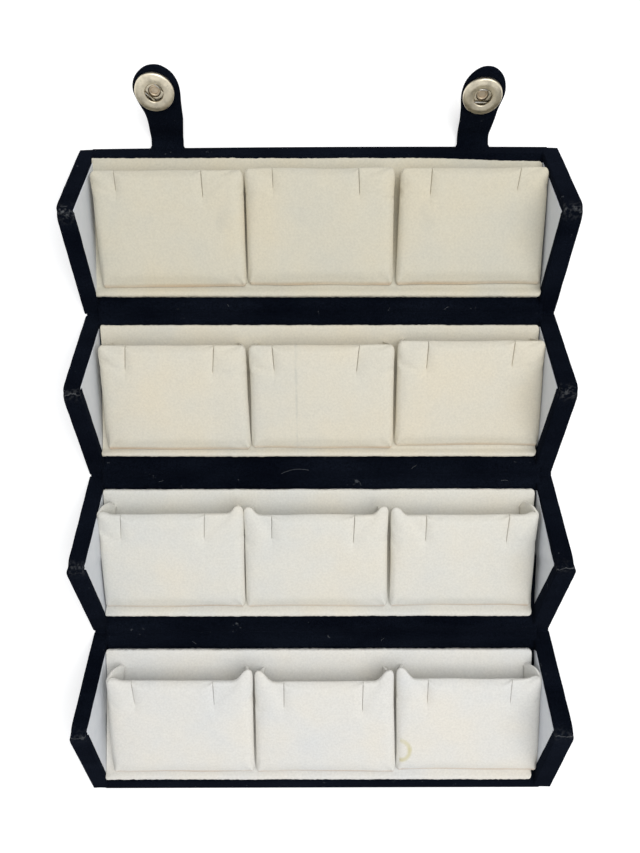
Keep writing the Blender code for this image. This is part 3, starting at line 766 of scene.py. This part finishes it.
def wall_sections(turn_in):
    """From the inner face over the rim to the outer one: the lower and the upper slope's place, from
    the inner face (False), as a share of the rim (None) or from the outer face (True), the insets
    and the height of the foot."""
    def straight(place, outer, inset):
        return place, place, outer, [inset] * 4, 0.0

    lower, upper = -0.00050, -0.00010
    sections = []
    for low, high, low_extra, high_extra in (
        (0.00015, 0.00015, 0.0010, 0.0012),
        (-0.00030, upper, 0.0001, 0.0008),
        (-0.00044, upper, 0.0, 0.0004),
        (lower, upper, -0.0001, 0.0),
    ):
        extra = (low_extra, low_extra, high_extra, high_extra)
        insets = [turn + more for turn, more in zip(turn_in, extra)]
        sections.append((low, high, False, insets, 0.0008))
    radius = INNER_SHOULDER
    sections.append((lower, upper, False, [mix(turn, radius, 0.6) for turn in turn_in], 0.0004))
    for angle in evenly(0, pi / 2, 5):
        place = radius * (1 - cos(angle))
        sections.append((lower + place, upper + place, False, [radius * (1 - sin(angle))] * 4, 0.0))
    for share in evenly(0, 1, 8)[1:-1]:
        sections.append(straight(share, None, 0.00006 * sin(pi * share)))
    radius = OUTER_SHOULDER
    for angle in evenly(0, pi / 2, 4):
        sections.append(straight(-radius * (1 - sin(angle)), True, radius * (1 - cos(angle))))
    return sections + [straight(0.0, True, inset) for inset in (0.0016, 0.0035)]


def add_wall(tray, side):
    """A velvet-wrapped end: the lower slope's cloth ends in a raw fold across the apex."""
    outline = wall_outline(tray)
    seed = 3.1 * tray + 7.7 * SIDES[side]
    rings, wear, rub, apex = [], [], [], []
    for low, high, outer, insets, bottom in wall_sections(TURN_INS[side][tray]):
        triangle = inner_triangle(insets, bottom)
        outside = 1 - ease((max(insets) - 0.0004) / 0.0008)
        ring = []
        for u, v in outline:
            past = u - PEAK
            inner = inner_plane(tray, side, u)
            face = BOX_HALF + wall_shift(tray, side, u)
            shift = mix(low, high, ease((past + 0.0004) / 0.0012))
            x = (face if outer else inner) + shift
            if outer is None:
                x = mix(inner + INNER_SHOULDER - 0.0003, face - OUTER_SHOULDER, shift)
            across = (x - inner) / WALL_THICKNESS
            on_rim = ease(v / 0.004) * outside
            edge = 0.0004 * wobble(across, 0, 0, 0.25, seed)
            step = 0.00020 * (1 - ease((past + edge + 0.0007) / 0.0006)) * ease(1 + past / 0.006)
            soft = 0.00008 * wobble(x, u, v, 0.004, seed) + 0.00005 * wobble(x, u, v, 0.0015, seed)
            normal = Vector((1.0 if u > PEAK else -1.0, 1.0)).normalized()
            place = moved_in((u, v), triangle) + normal * (step + soft) * on_rim
            place.y += APEX_BULGE * bell(past, 0.0025) * on_rim
            x += 0.00010 * wobble(u, v, across, 0.006, seed) * ease(v / 0.004)
            x -= APEX_BLUNT[side] * bell(past, 0.0020) * ease(across * 2 - 1)
            if tray == 1:
                near_end = ease((place.x - TRAY_WIDTH) / 0.006 + 1)
                place.x -= 0.0002 * near_end * ease((x - face) / 0.0032 + 1)
            ring.append((SIDES[side] * x, place.x, place.y))
            apex.append(past * 1000)
            wear.append(APEX_LINES[side][tray] * bell(past, 0.0016) * on_rim)
            rub.append(APEX_RUBS[side][tray] * bell(past, 0.0021) * on_rim)
        rings.append(ring)
    node = f"end_wall_{side}"
    tray_piece(tray, f"end_velvet_{side}", rings, BLACK, node, wear=wear, rub=rub, apex=apex)


def card_outline(tray, side):
    """The card's shape: its feet are cut off upright where the lining's lips begin."""
    low_foot, low_apex, high_apex, high_foot = TURN_INS[side][tray]
    insets = (low_foot - CARD_LAP, low_apex - CARD_LAP, high_apex, high_foot)
    low, high, apex = inner_triangle(insets, LINING_BOTTOM)
    ends = LOWER_SETBACKS[tray] + CARD_END, TRAY_WIDTH - UPPER_SETBACKS[tray] - CARD_END
    corners = []
    for foot, end in zip((low, high), ends):
        share = (end - foot.x) / (apex.x - foot.x)
        cut = [(tuple(foot), 0.0004)]
        if share > 0:
            cut = [((end, LINING_BOTTOM), 0.0), (tuple(foot.lerp(apex, share)), 0.0004)]
        corners.append(cut)
    outline = corners[0][::-1] + corners[1] + [(tuple(apex), 0.0010)]
    return spaced(rounded(outline, 5), 0.0020)


def add_card(tray, side):
    """The thin white card glued to the end wall's inner face, bowed a little."""
    outline = card_outline(tray, side)
    middle = Vector((PEAK, mix(LINING_BOTTOM, PEAK, 0.38)))
    levels = [(0.0, -CARD_BACK)]
    for share in (0.0, 0.02, 0.20, 0.45, 0.70, 0.92):
        levels.append((share, CARD_FRONT + CARD_BOW * sin(pi / 2 * share)))
    rings = []
    for share, front in levels:
        ring = [Vector(point).lerp(middle, share) for point in outline]
        rings.append([(SIDES[side] * (inner_plane(tray, side, p.x) - front), p.x, p.y) for p in ring])
    tray_piece(tray, f"smooth_card_{side}", rings, CARD, f"end_card_{side}")


# The lining

def lip_points(setback, is_free, end, steps):
    """From the lip's outer foot over its round top and down to the floor at end."""
    top = LINING_BOTTOM + (FREE_LIP_HEIGHT if is_free else LIP_HEIGHT)
    points = [(setback, LINING_BOTTOM)]
    points += arc((setback + LIP_RADIUS, top - LIP_RADIUS), LIP_RADIUS, 180, 80, 6)
    start, high = points[-1]
    for share in evenly(0, 1, steps)[1:]:
        points.append((mix(start, end, share), mix(high, LINING_FLOOR, ease(share * 0.95 + 0.05))))
    return points


def lining_outline(tray):
    """The lining's section: a short lip before the pads and a long slope behind them."""
    lower_free, upper_free = free_edges(tray)
    foot = min(pad[4] for pad in PADS[tray])
    top = max(pad[5] for pad in PADS[tray])
    over = lip_points(LOWER_SETBACKS[tray], lower_free, foot + 0.0006, 8)
    upper = lip_points(UPPER_SETBACKS[tray], upper_free, TRAY_WIDTH - top + 0.0015, 14)
    upper = [(TRAY_WIDTH - u, v) for u, v in reversed(upper)]
    floor = [(u, LINING_FLOOR) for u in spread(over[-1][0], upper[0][0], 0.004)[:-1]]
    bottom = [(u, LINING_BOTTOM) for u in reversed(spread(over[0][0], upper[-1][0], 0.006)[:-1])]
    return over + floor + upper, bottom


def add_lining(tray):
    """The lining, with its ends cut a little askew and its edges uneven."""
    outline, bottom = lining_outline(tray)
    (left, upper_left), (right, upper_right) = (LINING_ENDS[side][tray] for side in SIDES)
    low, high = outline[0][0], outline[-1][0]
    stations = [near - left for near in (0.0, 0.0002, 0.0005, 0.0009)]
    stations += spread(stations[-1], right - 0.0009, 0.0005)
    stations += [right - near for near in (0.0005, 0.0002, 0.0)]
    rings = []
    for x in stations:
        corner = rolled(x + left, LINING_CORNERS["left"]) + rolled(right - x, LINING_CORNERS["right"])
        sink = 0.5 * rolled(right - x, 0.0008)
        askew = mix(upper_right - right, left - upper_left, (right - x) / (right + left)) / TRAY_WIDTH
        ring = []
        for u, v in outline:
            beyond = u > PEAK
            above = ease((v - LINING_BOTTOM) / 0.003)
            up = 0.00016 * wobble(x, u, 0, 0.010, tray) + 0.00007 * wobble(x, u, 0, 0.002, tray)
            fuzz = 0.00014 * wobble(x, 0.4 if beyond else 0.1, 0, 0.008, tray)
            fuzz += 0.00017 * wobble(x, v, 0, 0.0010, tray)
            inward = (corner + fuzz) * (-1 if beyond else 1)
            if tray == 1 and beyond:
                inward -= LIP_DIP * ease((x - 0.035) / 0.055)
            edge = 1 - ease(min(u - low, high - u) / 0.0035)
            shift = inward * edge + LINING_TURNS[tray] * x / BOX_HALF
            ring.append((x, u + shift, v + (up - sink) * above))
        ring += [(x, u, v) for u, v in bottom]
        rings.append([(place + askew * u, u, v) for place, u, v in ring])
    tray_piece(tray, "velvet_lining", rings, CREAMS[tray], "liner")


# The pads

class Pad:
    """One pad's sizes, in its own frame: x across it, y up its slope from the foot, z out of it."""

    def __init__(self, tray, column):
        self.tray, self.column = tray, column
        top_left, top_right, foot_left, foot_right, self.foot, top = PADS[tray][column]
        self.x = (top_left + top_right + foot_left + foot_right) / 4
        self.half = (top_right - top_left + foot_right - foot_left) / 4
        self.top_span = (top_left - self.x, top_right - self.x)
        self.foot_span = (foot_left - self.x, foot_right - self.x)
        rise = PAD_TOP_RISE - PAD_FOOT_RISE
        self.length = hypot(top - self.foot, rise)
        self.tilt = atan2(rise, top - self.foot)
        self.rows = self.places_up()
        self.slits = [self.slit(given) for given in SLITS[tray][2 * column:2 * column + 2]]
        self.seed = 5.3 * tray + 11.9 * column

    def places_up(self):
        """Places up the slope, closer together at the foot, beside the slits and at the top edge."""
        places = [0.0, 0.00020, 0.00050, 0.0009, 0.0014, 0.0022]
        places += spread(places[-1], self.length - 0.0120, 0.0016)
        places += spread(places[-1], self.length - 0.0012, 0.0008)
        return places + [self.length - drop for drop in (0.0007, 0.0004, 0.00015, 0.0)]

    def slit(self, given):
        """(place before the pad is drawn out of true, start, end place, top place, strength)."""
        top, end, length = in_metres(given[:3])
        wanted = self.length - length / cos(self.tilt)
        start = min(self.rows, key=lambda y: abs(y - wanted))
        left, right = self.span(start)
        place = mix(-self.half, self.half, (end - self.x - left) / (right - left))
        return place, start, end - self.x, top - self.x, given[3]

    def span(self, y):
        share = y / self.length
        return tuple(mix(foot, top, share) for foot, top in zip(self.foot_span, self.top_span))

    def columns(self):
        """Stations over the pad: (kind, side, value, where a slit opens just before it)."""
        shares = evenly(0, 1, 6)
        stations = [("flange", -1, 1 - share, None) for share in shares[:-1]]
        stations += [("shoulder", -1, share, None) for share in shares[:-1]]
        edges = [PAD_SHOULDER - self.half]
        for place, _, _, _, strength in self.slits:
            edges += [place - SLIT_HALF * strength, place + SLIT_HALF * strength]
        edges.append(self.half - PAD_SHOULDER)
        beside = (0.0, 0.00010, 0.00030, 0.0009)
        for index in (0, 2, 4):
            low, high = edges[index], edges[index + 1]
            start = [low + near for near in beside] if index > 0 else [low]
            end = [high - near for near in beside] if index < 4 else [high]
            places = start + spread(start[-1], end[-1], 0.0016)[:-1] + end[::-1]
            opens = self.slits[index // 2 - 1][1] if index > 0 else None
            stations.append(("face", 1, places[0], opens))
            stations += [("face", 1, x, None) for x in places[1:]]
        stations += [("shoulder", 1, 1 - share, None) for share in shares[1:]]
        return stations + [("flange", 1, share, None) for share in shares[1:]]

    def point(self, station, y, offset):
        """A point of the pad's skin, this far inside its surface, over the lining's floor."""
        kind, sign, value, _ = station
        depth = (PAD_FOOT_RISE + y * sin(self.tilt)) / cos(self.tilt)
        radius = min(PAD_SHOULDER, 0.92 * depth)
        centre = self.half - radius
        if kind == "face":
            return Vector((value, y, -min(offset, 0.86 * depth)))
        inner = max(radius - offset, 0.0004)
        if kind == "flange":
            height = mix(radius, depth, value)
            lean = OUTER_LEAN if self.is_outer(sign) and EARS[self.tray][0] else FLANGE_LEAN
            return Vector((sign * (centre + inner - lean * (height - radius)), y, -height))
        angle = pi / 2 * value
        height = max(inner * sin(angle) - radius, -0.98 * depth)
        return Vector((sign * (centre + inner * cos(angle)), y, height))

    def slit_lip(self, x, y):
        """The cloth rolls down into each slit, and pinches where the slit ends."""
        drop = 0.0
        for place, start, _, _, strength in self.slits:
            near = max(abs(x - place) - SLIT_HALF * strength, 0.0)
            drop = max(drop, rolled(near, SLIT_LIP * strength) * ease((y - start + 0.0008) / 0.0010))
        return drop

    def is_outer(self, x):
        """Whether this side of the pad is next to an end wall."""
        return (self.column == 0 and x < 0) or (self.column == 2 and x > 0)

    def ends(self, x, y, height):
        """How far the foot and the top edge shift up the slope: round corners, ears where two pads
        meet, and flanges standing out behind at the end walls."""
        ear, flat, width, outer_ear, tail = EARS[self.tray]
        side = max(0.0, self.half - abs(x))
        near_side = ease(1 - (side - flat) / (width - flat))
        deeper = min(max(0.0, -height - 0.0008), 0.0060) * near_side if ear else 0.0
        if self.is_outer(x):
            top = outer_ear * near_side + tail * ease(deeper / 0.0040)
            top -= rolled(side + deeper, TOP_CORNERS[self.tray])
        else:
            top = ear * near_side - EAR_FALL * deeper - rolled(side, TOP_CORNERS[self.tray])
        top *= ease((y - self.length + 0.012) / 0.012) ** 1.5
        return top + rolled(side, FOOT_CORNER) * (1 - ease(y / 0.006))

    def drawn(self, x, y):
        """From the even strip to the pad's own trapezoid, with its slits running out of true."""
        left, right = self.span(y)
        result = mix(left, right, (x + self.half) / (2 * self.half))
        for place, start, end, top, _ in self.slits:
            here = mix(left, right, (place + self.half) / (2 * self.half))
            wanted = mix(end, top, max(0.0, y - start) / (self.length - start))
            pull = max(0.0, 1 - abs(x - place) / 0.005) * ease((y - start) / 0.0010)
            result += (wanted - here) * pull
        return result

    def skin(self, station, y, is_backing):
        """A point of the cloth, or of the backing that it is stretched over."""
        past = self.length - y
        offset = PAD_THICKNESS - rolled(past, BACK_ROLL)
        if not is_backing:
            offset = rolled(y, FOOT_ROLL) + rolled(past, TOP_ROLL)
            if station[0] == "face":
                offset += self.slit_lip(station[2], y)
        point = self.point(station, y, offset)
        return Vector((self.drawn(point.x, y), y + self.ends(point.x, y, point.z), point.z))


def pad_form(pad):
    """A padded card as a closed skin over a backing: face, shoulders, flanges and two slits."""
    columns = pad.columns()
    points = []
    for is_backing in (False, True):
        for y in pad.rows:
            points += [pad.skin(station, y, is_backing) for station in columns]
    width = len(columns)
    layer = len(pad.rows) * width
    faces = []
    for row, y in enumerate(pad.rows[:-1]):
        for column in range(width - 1):
            opens = columns[column + 1][3]
            if opens is None or y <= opens - 1e-6:
                a = row * width + column
                quad = (a, a + 1, a + width + 1, a + width)
                faces += [quad, tuple(layer + index for index in reversed(quad))]
    edges = {}
    for quad in faces:
        for pair in zip(quad, quad[1:] + quad[:1]):
            edges[frozenset(pair)] = None if frozenset(pair) in edges else pair
    for a, b in filter(None, edges.values()):
        if a < layer and b < layer:
            faces.append((b, a, a + layer, b + layer))
    column = COLUMNS[pad.column]
    name, node = f"tray_{pad.tray}_velvet_pad_{column}", f"tray_{pad.tray}_pad_{column}"
    obj = piece(name, (points, faces), CREAMS[pad.tray], nodes=[node])
    obj.vertex_groups.new(name="backing").add(list(range(layer, 2 * layer)), 1.0, "REPLACE")
    return obj


def fill_pads(forms):
    """Cloth simulation: the padding presses the velvet out from its backing."""
    for obj in forms:
        obj.data.transform(Matrix.Scale(CLOTH_SCALE, 4))
        cloth = obj.modifiers.new("padding", "CLOTH")
        for name, value in CLOTH.items():
            setattr(cloth.settings, name, value)
        cloth.settings.effector_weights.gravity = 0.0
        cloth.collision_settings.use_collision = False
        cloth.point_cache.frame_start = 1
        cloth.point_cache.frame_end = CLOTH_FRAMES
    for number in range(CLOTH_FRAMES):
        bpy.context.scene.frame_set(number + 1)
    graph = bpy.context.evaluated_depsgraph_get()
    cap = CLOTH_CAP * CLOTH_SCALE
    for obj in forms:
        swollen = [vertex.co.copy() for vertex in obj.evaluated_get(graph).data.vertices]
        for vertex, end in zip(obj.data.vertices, swollen):
            move = end - vertex.co
            move.x *= 0.3
            vertex.co += move * min(1.0, cap / max(move.length, cap))
        obj.modifiers.clear()
        obj.data.transform(Matrix.Scale(1 / CLOTH_SCALE, 4))
    bpy.context.scene.frame_set(1)


def subdivide(obj):
    modifier = obj.modifiers.new("soft", "SUBSURF")
    modifier.levels = 1
    modifier.render_levels = 1
    graph = bpy.context.evaluated_depsgraph_get()
    mesh = bpy.data.meshes.new_from_object(obj.evaluated_get(graph))
    obj.modifiers.clear()
    obj.data = mesh


def dress_pad(mesh, pad):
    """The crown and the small unevenness of glued cloth, the marks, and a painted shadow along the foot.
    """
    half, seed = pad.half, pad.seed
    wear, painted_foot_shadow = [], []
    for vertex in mesh.vertices:
        x, y, z = vertex.co
        share = clamp(y / pad.length)
        across = max(0.0, 1 - (x / half) ** 4)
        crown = PAD_CROWN * across * sin(pi * share) ** 0.6
        lumps = 0.00020 * wobble(x, y, 0, 0.013, seed) + 0.00006 * wobble(x, y, 0, 0.004, seed)
        vertex.co.z += (crown + lumps) * ease((z + 0.0022) / 0.0016)
        foot = 1 - ease(share / 0.10)
        vertex.co.y += foot * 0.00050 * wobble(x, 0, 0, 0.020, seed + 2)
        top = ease((share - 0.93) / 0.07)
        vertex.co.y += top * 0.00030 * wobble(x, 0, 0, 0.014, seed + 4)
        side = ease((abs(x) - half + 0.004) / 0.004)
        vertex.co.x += side * 0.00020 * wobble(0, y, 0, 0.014, seed + copysign(1, x))
        wear.append(pad_mark(pad, x, y))
        # Painted shadow along the pad's foot, patchy along its length
        foot_shadow_patchiness = 0.65 + 0.5 * wobble(x, 0, 0, 0.022, seed + 6)
        painted_foot_shadow.append(max(0.0, foot_shadow_patchiness * (1 - ease((y - 0.0004) / 0.0012))))
    set_mark(mesh, "wear", wear)
    set_mark(mesh, "foot", painted_foot_shadow)


def pad_mark(pad, x, y):
    """Smudges and stains: grey handling marks on tray 1, a rubbed line on tray 2, glue on tray 4."""
    where = (pad.tray, pad.column)
    mark = 0.0
    for _, start, end, _, strength in pad.slits:
        mark += 0.20 * strength * bell(x - end, 0.0005) * bell(y - start + 0.0008, 0.0018)
    if where in PATCHES:
        strength, patch_x, patch_y, width, height = PATCHES[where]
        mark += strength * bell(x - patch_x, width) * bell(y - patch_y, height)
    if where == (2, 1):
        mark += 0.50 * bell(x - RUBBED_LINE, 0.0007)
    if where == (4, 2) and x > GLUE_X:
        mark += 0.95 * bell(hypot(x - GLUE_X, 0.87 * (y - GLUE_Y)) - GLUE_RADIUS, 0.0009)
    return min(1.0, mark)


def add_pads():
    """All pads are swollen in one simulation, then dressed and set in their trays."""
    pads = [Pad(tray, column) for tray in TRAYS for column in range(len(COLUMNS))]
    forms = [pad_form(pad) for pad in pads]
    fill_pads(forms)
    for pad, obj in zip(pads, forms):
        subdivide(obj)
        dress_pad(obj.data, pad)
        obj.data.shade_smooth()
        foot = at(pad.x, pad.foot, PAD_BOTTOM + PAD_FOOT_RISE)
        obj.data.transform(tray_frame(pad.tray) @ foot @ spin(pad.tilt))
        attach(obj, f"tray_{pad.tray}")


# The cloth in the folds

def fold_piece(name, rings, upper, nodes=()):
    """A strip along the fold below this tray, set in its rest place."""
    lower = upper + 1
    y = lower_line(upper)
    obj = piece(f"{name}_{upper}_{lower}", loft(rings), BLACK, None, at(0, y, 0), nodes)
    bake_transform(obj)
    return obj


def add_fold(upper):
    """Cloth over the fold between two trays, inside and outside."""
    lower = upper + 1
    top = BASE_THICKNESS + 0.00012
    rings = []
    for x in evenly(-INNER_HALF, INNER_HALF, 120):
        high, low = [], []
        for y in evenly(-FOLD_LAP, FOLD_LAP, 36):
            dip = 0.00075 * bell(y, 0.0014) + 0.00022 * bell(y, 0.00035)
            uneven = 0.00006 * wobble(x, y, 0, 0.005, upper) * (1 - abs(y) / FOLD_LAP)
            high.append((x, y, top - dip + uneven))
            low.append((x, y, top - dip - 0.00030))
        ring = high + low[::-1]
        if lower == 4:
            ring = [spin(-TRAY_4_TILT) @ Vector(p) if p[1] < 0 else p for p in ring]
        rings.append(ring)
    fold_piece("fold_cloth", rings, upper)
    rings = []
    end = BOX_HALF - 0.0004
    for x in [-end] + spread(-end, end, 0.0015):
        half = HINGE_SETBACK if abs(x) < INNER_HALF else 0.0009
        places = evenly(-half, half, 12)
        rings.append([(x, y, 0.0) for y in places] + [(x, y, 0.0006) for y in reversed(places)])
    fold_piece("fold_spine", rings, upper, [f"hinge_cloth_{upper}_{lower}"])


# The straps

def strap_width(side, s):
    """Half the strap's width at a distance from its hinge line."""
    neck = STRAP_NECKS[side]
    waist_place, waist = STRAP_WAISTS[side]
    head, length = STRAP_HEADS[side]
    centre = HEAD_ENDS[side] - length
    if s < 0:
        return neck + ROOT_FILLET * ease((-s - 0.0028) / 0.0012) ** 2
    if s < waist_place:
        return mix(neck, waist, s / waist_place)
    if s < centre:
        share = (s - waist_place) / (centre - waist_place)
        return mix(waist, head, mix(share, ease(share), 0.8))
    return head * sqrt(max(0.0, 1 - ((s - centre) / length) ** 2))


def strap_drift(side, s):
    """How far the strap's middle runs outward of its place, in soft bends between given places."""
    steps = STRAP_DRIFTS[side]
    for (start, low), (end, high) in zip(steps, steps[1:]):
        if s < end:
            return mix(low, high, ease((s - start) / (end - start)))
    return steps[-1][1]


def strap_line(side, s):
    """Point and angle of the strap's middle: bent up softly round its hinge line, then leaning
    back a little towards its head."""
    axis = Vector((STRAP_AXIS_Y, STRAP_AXIS_Z))
    if s <= -STRAP_BEND:
        return axis + Vector((s, 0)), 0.0
    if s < STRAP_BEND:
        angle = STRAP_ANGLE * (s + STRAP_BEND) / (2 * STRAP_BEND)
        radius = STRAP_BEND / tan(STRAP_ANGLE / 2)
        return axis + Vector((radius * sin(angle) - STRAP_BEND, radius * (1 - cos(angle)))), angle
    along = Vector((cos(STRAP_ANGLE), sin(STRAP_ANGLE)))
    share = clamp((s - LEAN_STARTS) / LEAN_LENGTH)
    back = LEAN_LENGTH * (share**3 - share**4 / 2) + max(0.0, s - LEAN_STARTS - LEAN_LENGTH)
    outward = Vector((along.y, -along.x)) * back * LEANS[side]
    return axis + along * s + outward, STRAP_ANGLE - LEANS[side] * ease(share)


def strap_stations(side):
    """Places along the strap, closer together round its head."""
    length = STRAP_HEADS[side][1]
    centre = HEAD_ENDS[side] - length
    head = [centre + (length - 0.00002) * sin(angle) for angle in evenly(0, pi / 2, 12)[1:]]
    return evenly(-STRAP_START, centre, 56) + head


def add_strap(side):
    """The strap: flat and sewn at its root, leaning back and twisting a little at its head."""
    outward = SIDES[side]
    seed = 2 + outward
    rings = []
    for s in strap_stations(side):
        middle, angle = strap_line(side, s)
        half = max(strap_width(side, s), 0.0004)
        half_thick = STRAP_THICKNESS / 2 * min(1.0, 0.35 + half / 0.0035)
        roll = outward * HEAD_ROLLS[side] * ease((s - 0.0020) / (SNAP_REACH - 0.0060))
        shift = outward * (STRAP_PLACE + strap_drift(side, s))
        ring = []
        for turn in evenly(0, 2 * pi, 44)[:-1]:
            c, n = cos(turn), sin(turn)
            x = half * copysign(abs(c) ** 0.55, c)
            h = half_thick * copysign(abs(n) ** 0.55, n)
            x += 0.00012 * wobble(s, c, 0, 0.005, seed) * abs(c)
            h += 0.00006 * wobble(s, x, n * 0.001, 0.004, seed)
            x, h = x * cos(roll) + h * sin(roll), h * cos(roll) - x * sin(roll)
            z = max(middle.y + h * cos(angle), 0.00012)
            ring.append((shift + x, middle.x - h * sin(angle), z))
        rings.append(ring)
    nodes = f"strap_{side}", f"strap_root_{side}"
    obj = piece(f"strap_velvet_{side}", loft(rings), BLACK, nodes=nodes)
    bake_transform(obj)


# The snaps

def add_ring(side):
    """The socket's ring: a pressed disc with a crowned face, a rolled rim and a turned-in mouth."""
    outer, hole, top = SOCKET_RADIUS, SOCKET_HOLE, SOCKET_HEIGHT
    inner = POST_RADIUS + 0.0001
    profile = [(outer - 0.0004, 0.0), (inner, 0.0), (inner, 0.00040)]
    profile += [(hole + 0.0016, 0.00045), (hole + 0.0016, 0.00135), (hole - 0.0001, 0.00135)]
    profile += arc((hole + 0.0003, top - 0.0003), 0.0004, 180, 95, 5)
    inner_face, outer_face = hole + 0.0005, outer - 0.0008
    for radius in spread(inner_face, outer_face, 0.0004)[:-1]:
        share = (radius - inner_face) / (outer_face - inner_face)
        profile.append((radius, top + 0.00016 * sin(pi * share) + 0.00004))
    profile += arc((outer - 0.0006, top - 0.00060), 0.0006, 85, 0, 7)
    profile += arc((outer - 0.0004, 0.0004), 0.0004, 0, -80, 4)
    body, place = f"strap_{side}", snap_frame(side, SOCKET_BOTTOM)
    turned(f"snap_ring_{side}", profile, 96, NICKEL, body, place, f"snap_socket_{side}")


def add_spring(side):
    """The hairpin of wire in the socket's groove: two runs beside the stud's place."""
    wire, run = 0.00034, 0.00245
    radius = SOCKET_HOLE + 0.0008
    corner = degrees(acos(run / radius))
    end = -radius * sin(radians(corner))
    route = [(run, end)] + arc((0.0, 0.0), radius, corner, 180 - corner, 12) + [(-run, end)]
    form = tube([Vector((x, y, 0.0)) for x, y in route], wire, 8)
    place = snap_frame(side, SOCKET_BOTTOM + SOCKET_HEIGHT / 2) @ spin(SPRING_TURNS[side], "Z")
    piece(f"snap_spring_{side}", form, SPRING, f"strap_{side}", place, [f"socket_spring_{side}"])


def add_rivet(side):
    """The cap behind the strap, with the hollow post whose rolled end shows in the ring."""
    post, bore, top = POST_RADIUS, 0.0012, 0.0024
    profile = [(0.0, 0.0020), (bore, 0.0020)]
    profile += arc((mix(bore, post, 0.5), top - 0.0004), 0.00045, 180, 0, 8)
    profile += [(post, 0.0), (SOCKET_RADIUS, 0.0)]
    for angle in evenly(0, pi / 2, 15)[1:]:
        profile.append((SOCKET_RADIUS * cos(angle), -0.0005 - 0.0010 * sin(angle)))
    body, place = f"strap_{side}", snap_frame(side, -STRAP_THICKNESS / 2 - 0.0003)
    turned(f"snap_rivet_{side}", profile, 64, BORE_NICKEL, body, place, f"snap_cap_{side}")


def add_stud(side):
    """The stud under tray 4: flange, neck and rounded ball."""
    profile = [(0.0, -0.0006), (0.00105, -0.0006), (0.00115, -0.0003), (0.0046, -0.0003)]
    profile += arc((0.0046, -0.00055), 0.00025, 80, -80, 5)
    profile += [(0.0019, -0.0009), (0.00155, -0.0010), (0.0015, -0.0013)]
    profile += arc((0.00115, -0.00180), 0.00060, 60, -85, 8)
    profile += [(0.0, -0.0024)]
    place = tray_frame(4) @ at(SIDES[side] * STRAP_PLACE, STRAP_AXIS_Z + SNAP_REACH, 0)
    turned(f"snap_post_{side}", profile, 48, NICKEL, "tray_4", place, f"snap_stud_{side}")


# Lint and carried-over pieces

def add_lint():
    """Pale hairs caught on the black velvet of the bands between the trays."""
    for number, (tray, x, u, length, angle) in enumerate(LINT):
        turn = radians(angle)
        route = []
        for share in evenly(0, 1, 12):
            along = (share - 0.5) * length
            curl = 0.10 * length * sin(3.0 * share + number)
            place_x = x + along * cos(turn) - curl * sin(turn)
            place_u = u + along * sin(turn) * 0.5 + curl * cos(turn)
            route.append(Vector((place_x, place_u, BASE_THICKNESS + 0.00022)))
        form = tube(route, 0.000035, 5)
        piece(f"lint_{number + 1}", form, LINT_GREY, f"tray_{tray}", tray_frame(tray))


def finish_cad_nodes():
    """The boards and eyelets keep their own shapes."""
    materials = {"board": BOARD[0], "eyelet": BORE_NICKEL[0]}
    for name, node in frame["nodes"].items():
        for word in materials:
            if word in name:
                node.material_slots[0].link = "OBJECT"
                node.material_slots[0].material = materials[word]


# Stage, light and camera

def add_floor():
    """A pale floor that looks white and keeps the object's shadow."""
    material = bpy.data.materials.new("white_floor")
    nodes = Nodes(material)
    nodes.tree.nodes.clear()
    seen = nodes.math("MINIMUM", nodes.math("ADD", nodes.ray("Camera"), nodes.ray("Glossy")), 1.0)
    glow = nodes.add("Emission", {"Strength": nodes.times(seen, 0.42)})
    diffuse = nodes.add("BsdfDiffuse", {"Color": (0.80, 0.80, 0.80)})
    nodes.add("OutputMaterial", {"Surface": nodes.add("AddShader", {0: diffuse, 1: glow})})
    mesh = bpy.data.meshes.new("floor")
    corners = ((-1, -1), (1, -1), (1, 1), (-1, 1))
    mesh.from_pydata([(FLOOR_HALF * x, FLOOR_HALF * y, 0.0) for x, y in corners], [], [(0, 1, 2, 3)])
    mesh.materials.append(material)
    floor = new_object("floor", mesh)
    floor.location.z = cad_box[0].z - 0.0002


def add_world():
    """Soft light all round, a little stronger in metal, and white where the camera sees it."""
    world = bpy.data.worlds.new("studio")
    bpy.context.scene.world = world
    nodes = Nodes(world)
    nodes.tree.nodes.clear()
    strength = nodes.math("ADD", nodes.times(nodes.ray("Glossy"), 0.28), 0.60)
    light = nodes.add("Background", {"Color": (0.97, 0.98, 1.0), "Strength": strength})
    shown = nodes.add("Background", {"Color": (1.0, 1.0, 1.0)})
    both = nodes.add("MixShader", {0: nodes.ray("Camera"), 1: light, 2: shown})
    nodes.add("OutputWorld", {"Surface": both})


def add_lamp():
    lamp = bpy.data.lights.new("soft_window", "AREA")
    lamp.shape = "DISK"
    lamp.size = LAMP_SIZE
    lamp.energy = LAMP_POWER
    obj = new_object("soft_window", lamp)
    obj.location = LAMP_PLACE
    obj.rotation_mode = "QUATERNION"
    obj.rotation_quaternion = (-Vector(LAMP_PLACE)).to_track_quat("-Z", "Y")


def add_camera():
    """The photograph's view: from 0.29 m up, tilted a little, with its middle off the lens axis."""
    camera = bpy.data.cameras.new("camera")
    camera.sensor_width = 36.0
    camera.lens = 36.0 * FOCAL_PIXELS / IMAGE_HEIGHT
    camera.shift_y = AXIS_PIXELS_BELOW_MIDDLE / IMAGE_HEIGHT
    camera.clip_start = 0.01
    turn = Matrix()
    for axis, angle in CAMERA_TURNS.items():
        turn = turn @ spin(radians(angle), axis)
    obj = new_object("camera", camera)
    obj.matrix_world = at(*CAMERA_PLACE) @ turn.transposed()
    bpy.context.scene.camera = obj


add_camera()
add_floor()
add_world()
add_lamp()
for number in TRAYS:
    add_cover(number)
    for wall_side in SIDES:
        add_wall(number, wall_side)
        add_card(number, wall_side)
    add_lining(number)
add_pads()
for number in TRAYS[:-1]:
    add_fold(number)
for strap_side in SIDES:
    add_strap(strap_side)
    add_ring(strap_side)
    add_spring(strap_side)
    add_rivet(strap_side)
    add_stud(strap_side)
add_lint()
finish_cad_nodes()

bpy.context.scene.view_settings.view_transform = "Standard"
